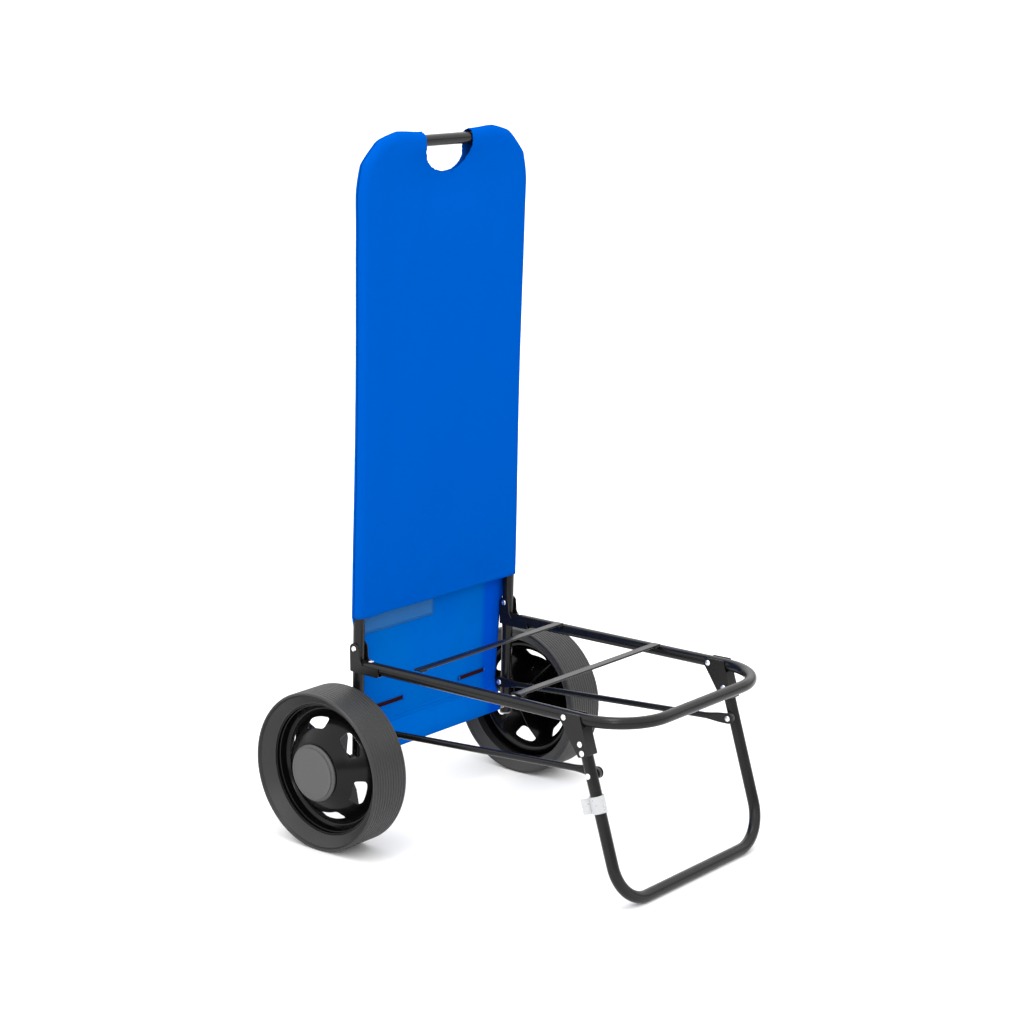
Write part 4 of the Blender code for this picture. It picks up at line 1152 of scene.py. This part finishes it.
def reach(x, along, turn):
    """How far the wrapped edge stands out from the tube's axis; the top is slacker than the sides."""
    shoulder = UPRIGHT_TOP - UPRIGHT_CORNER
    waver = 0.0003 * noise.noise(Vector((x * 30.0, along * 30.0, 4.0)))
    if turn > math.pi / 2 - 1e-6:
        return 0.0126 + 0.0028 * ease(abs(x), NOTCH[0], HALF_WIDTH - UPRIGHT_CORNER) + waver
    if turn > 0.0:
        return max(shoulder_reach(turn), 0.0104) + waver
    return SIDE_REACH + 0.0005 + 0.0012 * ease(along, shoulder - 0.060, shoulder) + waver


def wrapped_edge(rows):
    """The face's outline with its outward directions: up one side, over the top, down the other."""
    outline = []
    last = rows[-1]
    for along, half, turn in rows[:-1]:
        outline.append((Vector((-half, along)), Vector((-math.cos(turn), math.sin(turn))), turn))
    for column in range(-COLUMNS, COLUMNS + 1):
        outline.append((Vector((last[1] * column / COLUMNS, last[0])), Vector((0.0, 1.0)), math.pi / 2))
    for along, half, turn in rows[-2::-1]:
        outline.append((Vector((half, along)), Vector((math.cos(turn), math.sin(turn))), turn))
    return outline


def cut_notch(bm, scale):
    """Take out the hand notch and the cloth over the bare handle, with a ragged edge."""
    wide = NOTCH[0] * scale

    def inside(vert):
        if vert.co.z > UPRIGHT_TOP - 1e-5:
            return abs(vert.co.x) < wide
        return notch_share(vert.co.x, vert.co.z, scale) < 1.0

    gone = [face for face in bm.faces if all(inside(vert) for vert in face.verts)]
    bmesh.ops.delete(bm, geom=gone, context="FACES")
    for vert in [vert for vert in bm.verts if inside(vert)]:
        if vert.co.z > UPRIGHT_TOP - 1e-5:
            vert.co.x = math.copysign(wide, vert.co.x)
        else:
            size = notch_share(vert.co.x, vert.co.z, scale) ** (-1 / NOTCH_POWER)
            vert.co.x *= size
            vert.co.z = UPRIGHT_TOP + (vert.co.z - UPRIGHT_TOP) * size
        spot = vert.co * 260.0
        vert.co.x += 0.0020 * noise.noise(spot)
        vert.co.z += 0.0020 * noise.noise(spot + Vector((5.0, 0.0, 0.0)))


def panel_face(facing, panel):
    """One panel's face and wrapped edge: the bmesh, its hem row of face points and its rows."""
    rows = arch_rows()
    bm = bmesh.new()
    face = []
    for along, half, _ in rows:
        line = []
        for column in range(-COLUMNS, COLUMNS + 1):
            x = half * column / COLUMNS
            line.append(Vector((x, facing * face_depth(x, along, panel), along)))
        face.append(line)
    skin(bm, face)
    bands = []
    for step in range(BAND_ROWS + 2):
        turn = min(step / BAND_ROWS, 1.0) * math.pi / 2
        band = []
        for place, outward, corner in wrapped_edge(rows):
            depth = face_depth(place.x, place.y, panel)
            out = reach(place.x, place.y, corner) * math.sin(turn) + (RIDGE if step > BAND_ROWS else 0.0)
            spot = place + outward * out
            lift = 0.0008 if step > BAND_ROWS else 0.0
            band.append(Vector((spot.x, facing * max(depth * math.cos(turn), 0.0010 - lift + 0.0001),
                                spot.y)))
        bands.append(band)
    skin(bm, bands)
    bmesh.ops.remove_doubles(bm, verts=bm.verts, dist=1e-5)
    return bm, face[0]


def finish_panel(name, bm, facing):
    """Turn the open sheet's normals outwards and give it the cloth's thickness inwards."""
    obj = lean(piece(name, bm, 70.0))
    largest = max(obj.data.polygons, key=lambda poly: poly.area)
    if largest.normal.y * facing < 0:
        obj.data.flip_normals()
    wall = obj.modifiers.new("cloth", "SOLIDIFY")
    wall.thickness = CLOTH_THICK
    wall.offset = -1.0
    return obj


def make_front_panel():
    bm, hem = panel_face(-1.0, "front")
    cut_notch(bm, 1.0)
    inner = [place for place in hem if abs(place.x) < HALF_WIDTH - 0.012]
    rows = [inner]
    for rise, inwards in ((-0.0006, 0.0005), (0.0, 0.0010), (0.006, 0.0010), (0.013, 0.0010),
                          (HEM_FOLD, 0.0010)):
        row = []
        for place in inner:
            depth = face_depth(place.x, max(HEM + rise, HEM), "front") - inwards
            row.append(Vector((place.x, -depth, HEM + rise)))
        rows.append(row)
    skin(bm, rows)
    bmesh.ops.remove_doubles(bm, verts=bm.verts, dist=1e-5)
    panel = finish_panel("front_panel", bm, -1.0)
    return dress(panel, "back_frame", "sleeve_fabric", CLOTH, "sleeve_front")


def lower_half_width(along):
    """The back panel narrows quickly below the hem, then slowly down to the axle."""
    if along > WAIST:
        share = ease(along, WAIST, HEM + 0.004) ** 1.3
        return WAIST_HALF_WIDTH + (HALF_WIDTH - WAIST_HALF_WIDTH) * share
    return FOOT_HALF_WIDTH + (WAIST_HALF_WIDTH - FOOT_HALF_WIDTH) * max(along, 0.0) / WAIST


def lower_depth(x, along):
    """Depth of the lower panel's back face, which runs to the front of the axle at its foot."""
    hang = ease(along, LOOP_TOP, HANG_TOP)
    return face_depth(x, along, "back") * hang - AXLE_WRAP * (1 - hang)


def lower_rows():
    """(along, depth) of the lower panel below the hem; depth is None where it hangs free."""
    rows = [(HEM - EDGE_DROP * step / EDGE_STEPS, None) for step in range(1, EDGE_STEPS + 1)]
    low = HEM - EDGE_DROP
    rows += [(low + (LOOP_TOP - low) * step / 26, None) for step in range(1, 27)]
    for step in range(11):
        turn = math.radians(185 + 185 * step / 10)
        rows.append((AXLE_WRAP * math.sin(turn), AXLE_WRAP * math.cos(turn)))
    return rows


def panel_row(along, depth):
    half = lower_half_width(along)
    return [Vector((half * column / COLUMNS, depth(half * column / COLUMNS, along), along))
            for column in range(-COLUMNS, COLUMNS + 1)]


def make_edge_wings(bm):
    """Below the hem the wrapped edge narrows until it lies flat behind the upright."""
    for side in SIDES.values():
        curl = []
        depth = face_depth(HALF_WIDTH, HEM, "back")
        for step in range(BAND_ROWS + 1):
            turn = step / BAND_ROWS * math.pi / 2
            curl.append(Vector((side * (HALF_WIDTH + reach(HALF_WIDTH, HEM, 0.0) * math.sin(turn)),
                                max(depth * math.cos(turn), 0.0010), 0.0)))
        rows = []
        for step in range(EDGE_STEPS + 1):
            along = HEM - EDGE_DROP * step / EDGE_STEPS
            half = lower_half_width(along)
            edge = Vector((side * half, lower_depth(half, along), 0.0)) if step else curl[0].copy()
            fade = (1 - step / EDGE_STEPS) ** 1.4
            rows.append([edge.lerp(edge + (place - curl[0]), fade) + Vector((0.0, 0.0, along))
                         for place in curl])
        skin(bm, rows)


def make_back_panel():
    """The back panel runs on below the front hem and loops round the axle."""
    bm, hem = panel_face(1.0, "back")
    cut_notch(bm, 0.97)
    make_edge_wings(bm)
    rows = [hem]
    for along, depth in lower_rows():
        rows.append(panel_row(along, lower_depth if depth is None else (lambda x, z, d=depth: d)))
    for along, behind in LOOP_TAIL:
        rows.append(panel_row(along, lambda x, z, gap=behind: lower_depth(x, z) + gap))
    skin(bm, rows)
    bmesh.ops.remove_doubles(bm, verts=bm.verts, dist=2e-5)
    panel = finish_panel("back_panel", bm, 1.0)
    return dress(panel, "back_frame", "sleeve_fabric", CLOTH, "sleeve_back")


def stitch(bm, start, end, normal, radius=0.00028):
    """One stitch: a short thread that dips into the cloth at both ends."""
    direction = (end - start).normalized()
    rows = []
    for share, size, lift in ((0.0, 0.0, -0.6), (0.06, 0.7, -0.1), (0.25, 1.0, 0.5), (0.5, 1.05, 0.7),
                              (0.75, 1.0, 0.5), (0.94, 0.7, -0.1), (1.0, 0.0, -0.6)):
        place = start.lerp(end, share) + normal * (lift * radius)
        rows.append([place] if size == 0 else ring_points(place, direction, normal, radius * size, 6))
    skin(bm, rows, join_columns=True)


def stitch_line(bm, first, last, depth, normal, pitch=0.0042, length=0.0033):
    """Stitches along a line from first to last, (across, along), on the surface depth(x, along)."""
    first, last = Vector(first), Vector(last)
    count = max(1, round((last - first).length / pitch))
    for index in range(count):
        ends = []
        for share in (index / count, (index + length / pitch) / count):
            spot = first.lerp(last, share)
            ends.append(Vector((spot.x, depth(spot.x, spot.y), spot.y)))
        stitch(bm, *ends, normal)


def trim_sheet(name, left, right, low, high, lift, thick, puff=0.0):
    """A thin sewn-on sheet on the front of the lower panel, with its edges pressed down."""
    columns = max(8, round((right - left) / 0.004))
    rows = []
    for step in range(9):
        share = step / 8
        along = low + (high - low) * share
        row = []
        for column in range(columns + 1):
            x = left + (right - left) * column / columns
            rim = min(min(share, 1 - share) * (high - low), x - left, right - x)
            rise = lift + puff * ease(rim, 0.0, 0.003)
            row.append(Vector((x, lower_depth(x, along) - CLOTH_THICK - rise, along)))
        rows.append(row)
    bm = bmesh.new()
    skin(bm, rows)
    obj = lean(piece(name, bm, 70.0))
    if obj.data.polygons[0].normal.y > 0:
        obj.data.flip_normals()
    wall = obj.modifiers.new("cloth", "SOLIDIFY")
    wall.thickness = thick
    wall.offset = 1.0
    return obj


PATCH_EDGES = (-0.170, 0.0, 0.193, 0.2262)
SLOT_MIDDLE = 0.100
SLOT_SIZE = (0.070, 0.0062)
SLOT_ALONG = 0.070
FORWARD = Vector((0.0, -1.0, 0.0))
BACKWARD = Vector((0.0, 1.0, 0.0))


def make_patch():
    left, right, low, high = PATCH_EDGES
    patch = trim_sheet("sewn_patch", left, right, low, high, 0.0002, 0.0004, 0.0003)
    return dress(patch, "back_frame", "patch_fabric", PATCH, "blank_patch")


def make_strap_slot(side_name, side):
    """A bound slot: a ribbed strip of dark webbing with a bar tack at each end."""
    middle = side * SLOT_MIDDLE
    half, high = SLOT_SIZE[0] / 2, SLOT_SIZE[1] / 2
    slot = trim_sheet("bound_slot_" + side_name, middle - half, middle + half,
                      SLOT_ALONG - high, SLOT_ALONG + high, 0.0002, 0.0007, 0.0004)
    return dress(slot, "back_frame", "slot_webbing", WEBBING, "strap_slot_" + side_name)


def make_stitches():
    """Every visible row of thread, in three pieces: front hem, lower panel, and trims."""
    hem = bmesh.new()
    row = HEM + HEM_FOLD - 0.003
    stitch_line(hem, (-0.186, row), (0.186, row),
                lambda x, along: -face_depth(x, along, "front") - 0.0001, FORWARD)
    front = finish_thread("hem_stitches", hem, "sleeve_fabric")

    def front_of_panel(x, along):
        return lower_depth(x, along) - CLOTH_THICK - 0.0001

    def back_of_panel(x, along):
        return lower_depth(x, along) + 0.0001

    def back_of_tail(x, along):
        return lower_depth(x, along) + TAIL_LIFT + CLOTH_THICK + 0.0001

    panel = bmesh.new()
    for row in (0.0385, 0.0435):
        half = lower_half_width(row) - 0.004
        stitch_line(panel, (-half, row), (half, row), front_of_panel, FORWARD)
        stitch_line(panel, (-half, row), (half, row), back_of_tail, BACKWARD)
    for side in SIDES.values():
        for depth, normal in ((front_of_panel, FORWARD), (back_of_panel, BACKWARD)):
            stitch_line(panel, (side * (lower_half_width(0.050) - 0.008), 0.050),
                        (side * (lower_half_width(WAIST) - 0.008), WAIST), depth, normal)
    low = finish_thread("lower_stitches", panel, "sleeve_fabric")
    trims = bmesh.new()
    left, right, bottom, top = PATCH_EDGES
    inset = 0.0028

    def on_patch(x, along):
        return lower_depth(x, along) - CLOTH_THICK - 0.0010

    corners = [(left + inset, top - inset), (left + inset, bottom + inset),
               (right - inset, bottom + inset), (right - inset, top - inset)]
    for first, last in zip(corners, corners[1:] + corners[:1]):
        stitch_line(trims, first, last, on_patch, FORWARD, 0.0036, 0.0028)
    for side in SIDES.values():
        for end in (-1, 1):
            x = side * SLOT_MIDDLE + end * (SLOT_SIZE[0] / 2 - 0.0005)
            for step in range(7):
                spot = x - end * step * 0.0005
                stitch_line(trims, (spot, SLOT_ALONG - 0.0042), (spot, SLOT_ALONG + 0.0042),
                            lambda a, b: lower_depth(a, b) - CLOTH_THICK - 0.0014, FORWARD, 0.0084, 0.0080)
    trim = finish_thread("trim_stitches", trims, "sleeve_fabric")
    return front, low, trim


def finish_thread(name, bm, slot):
    return dress(lean(piece(name, bm, 60.0)), "back_frame", slot, THREAD)


def build_sleeve():
    front = make_front_panel()
    back = make_back_panel()
    patch = make_patch()
    slots = [make_strap_slot(name, side) for name, side in SIDES.items()]
    hem_thread, low_thread, trim_thread = make_stitches()


# ---------------------------------------------------------------- CAD nodes that stay, and the floor

CAD_LOOKS = {"axle": ZINC}


def dress_cad_nodes():
    for name, node in frame["nodes"].items():
        node.data.materials.clear()
        node.data.materials.append(CAD_LOOKS.get(name, COAT))


def make_floor():
    bm = bmesh.new()
    bmesh.ops.create_circle(bm, cap_ends=True, radius=60.0, segments=96)
    floor = piece("floor", bm)
    floor.data.materials.append(floor_paint())


make_camera()
make_light()
make_floor()
dress_cad_nodes()
build_tubes()
build_hardware()
build_fasteners()
build_wheels()
build_sleeve()
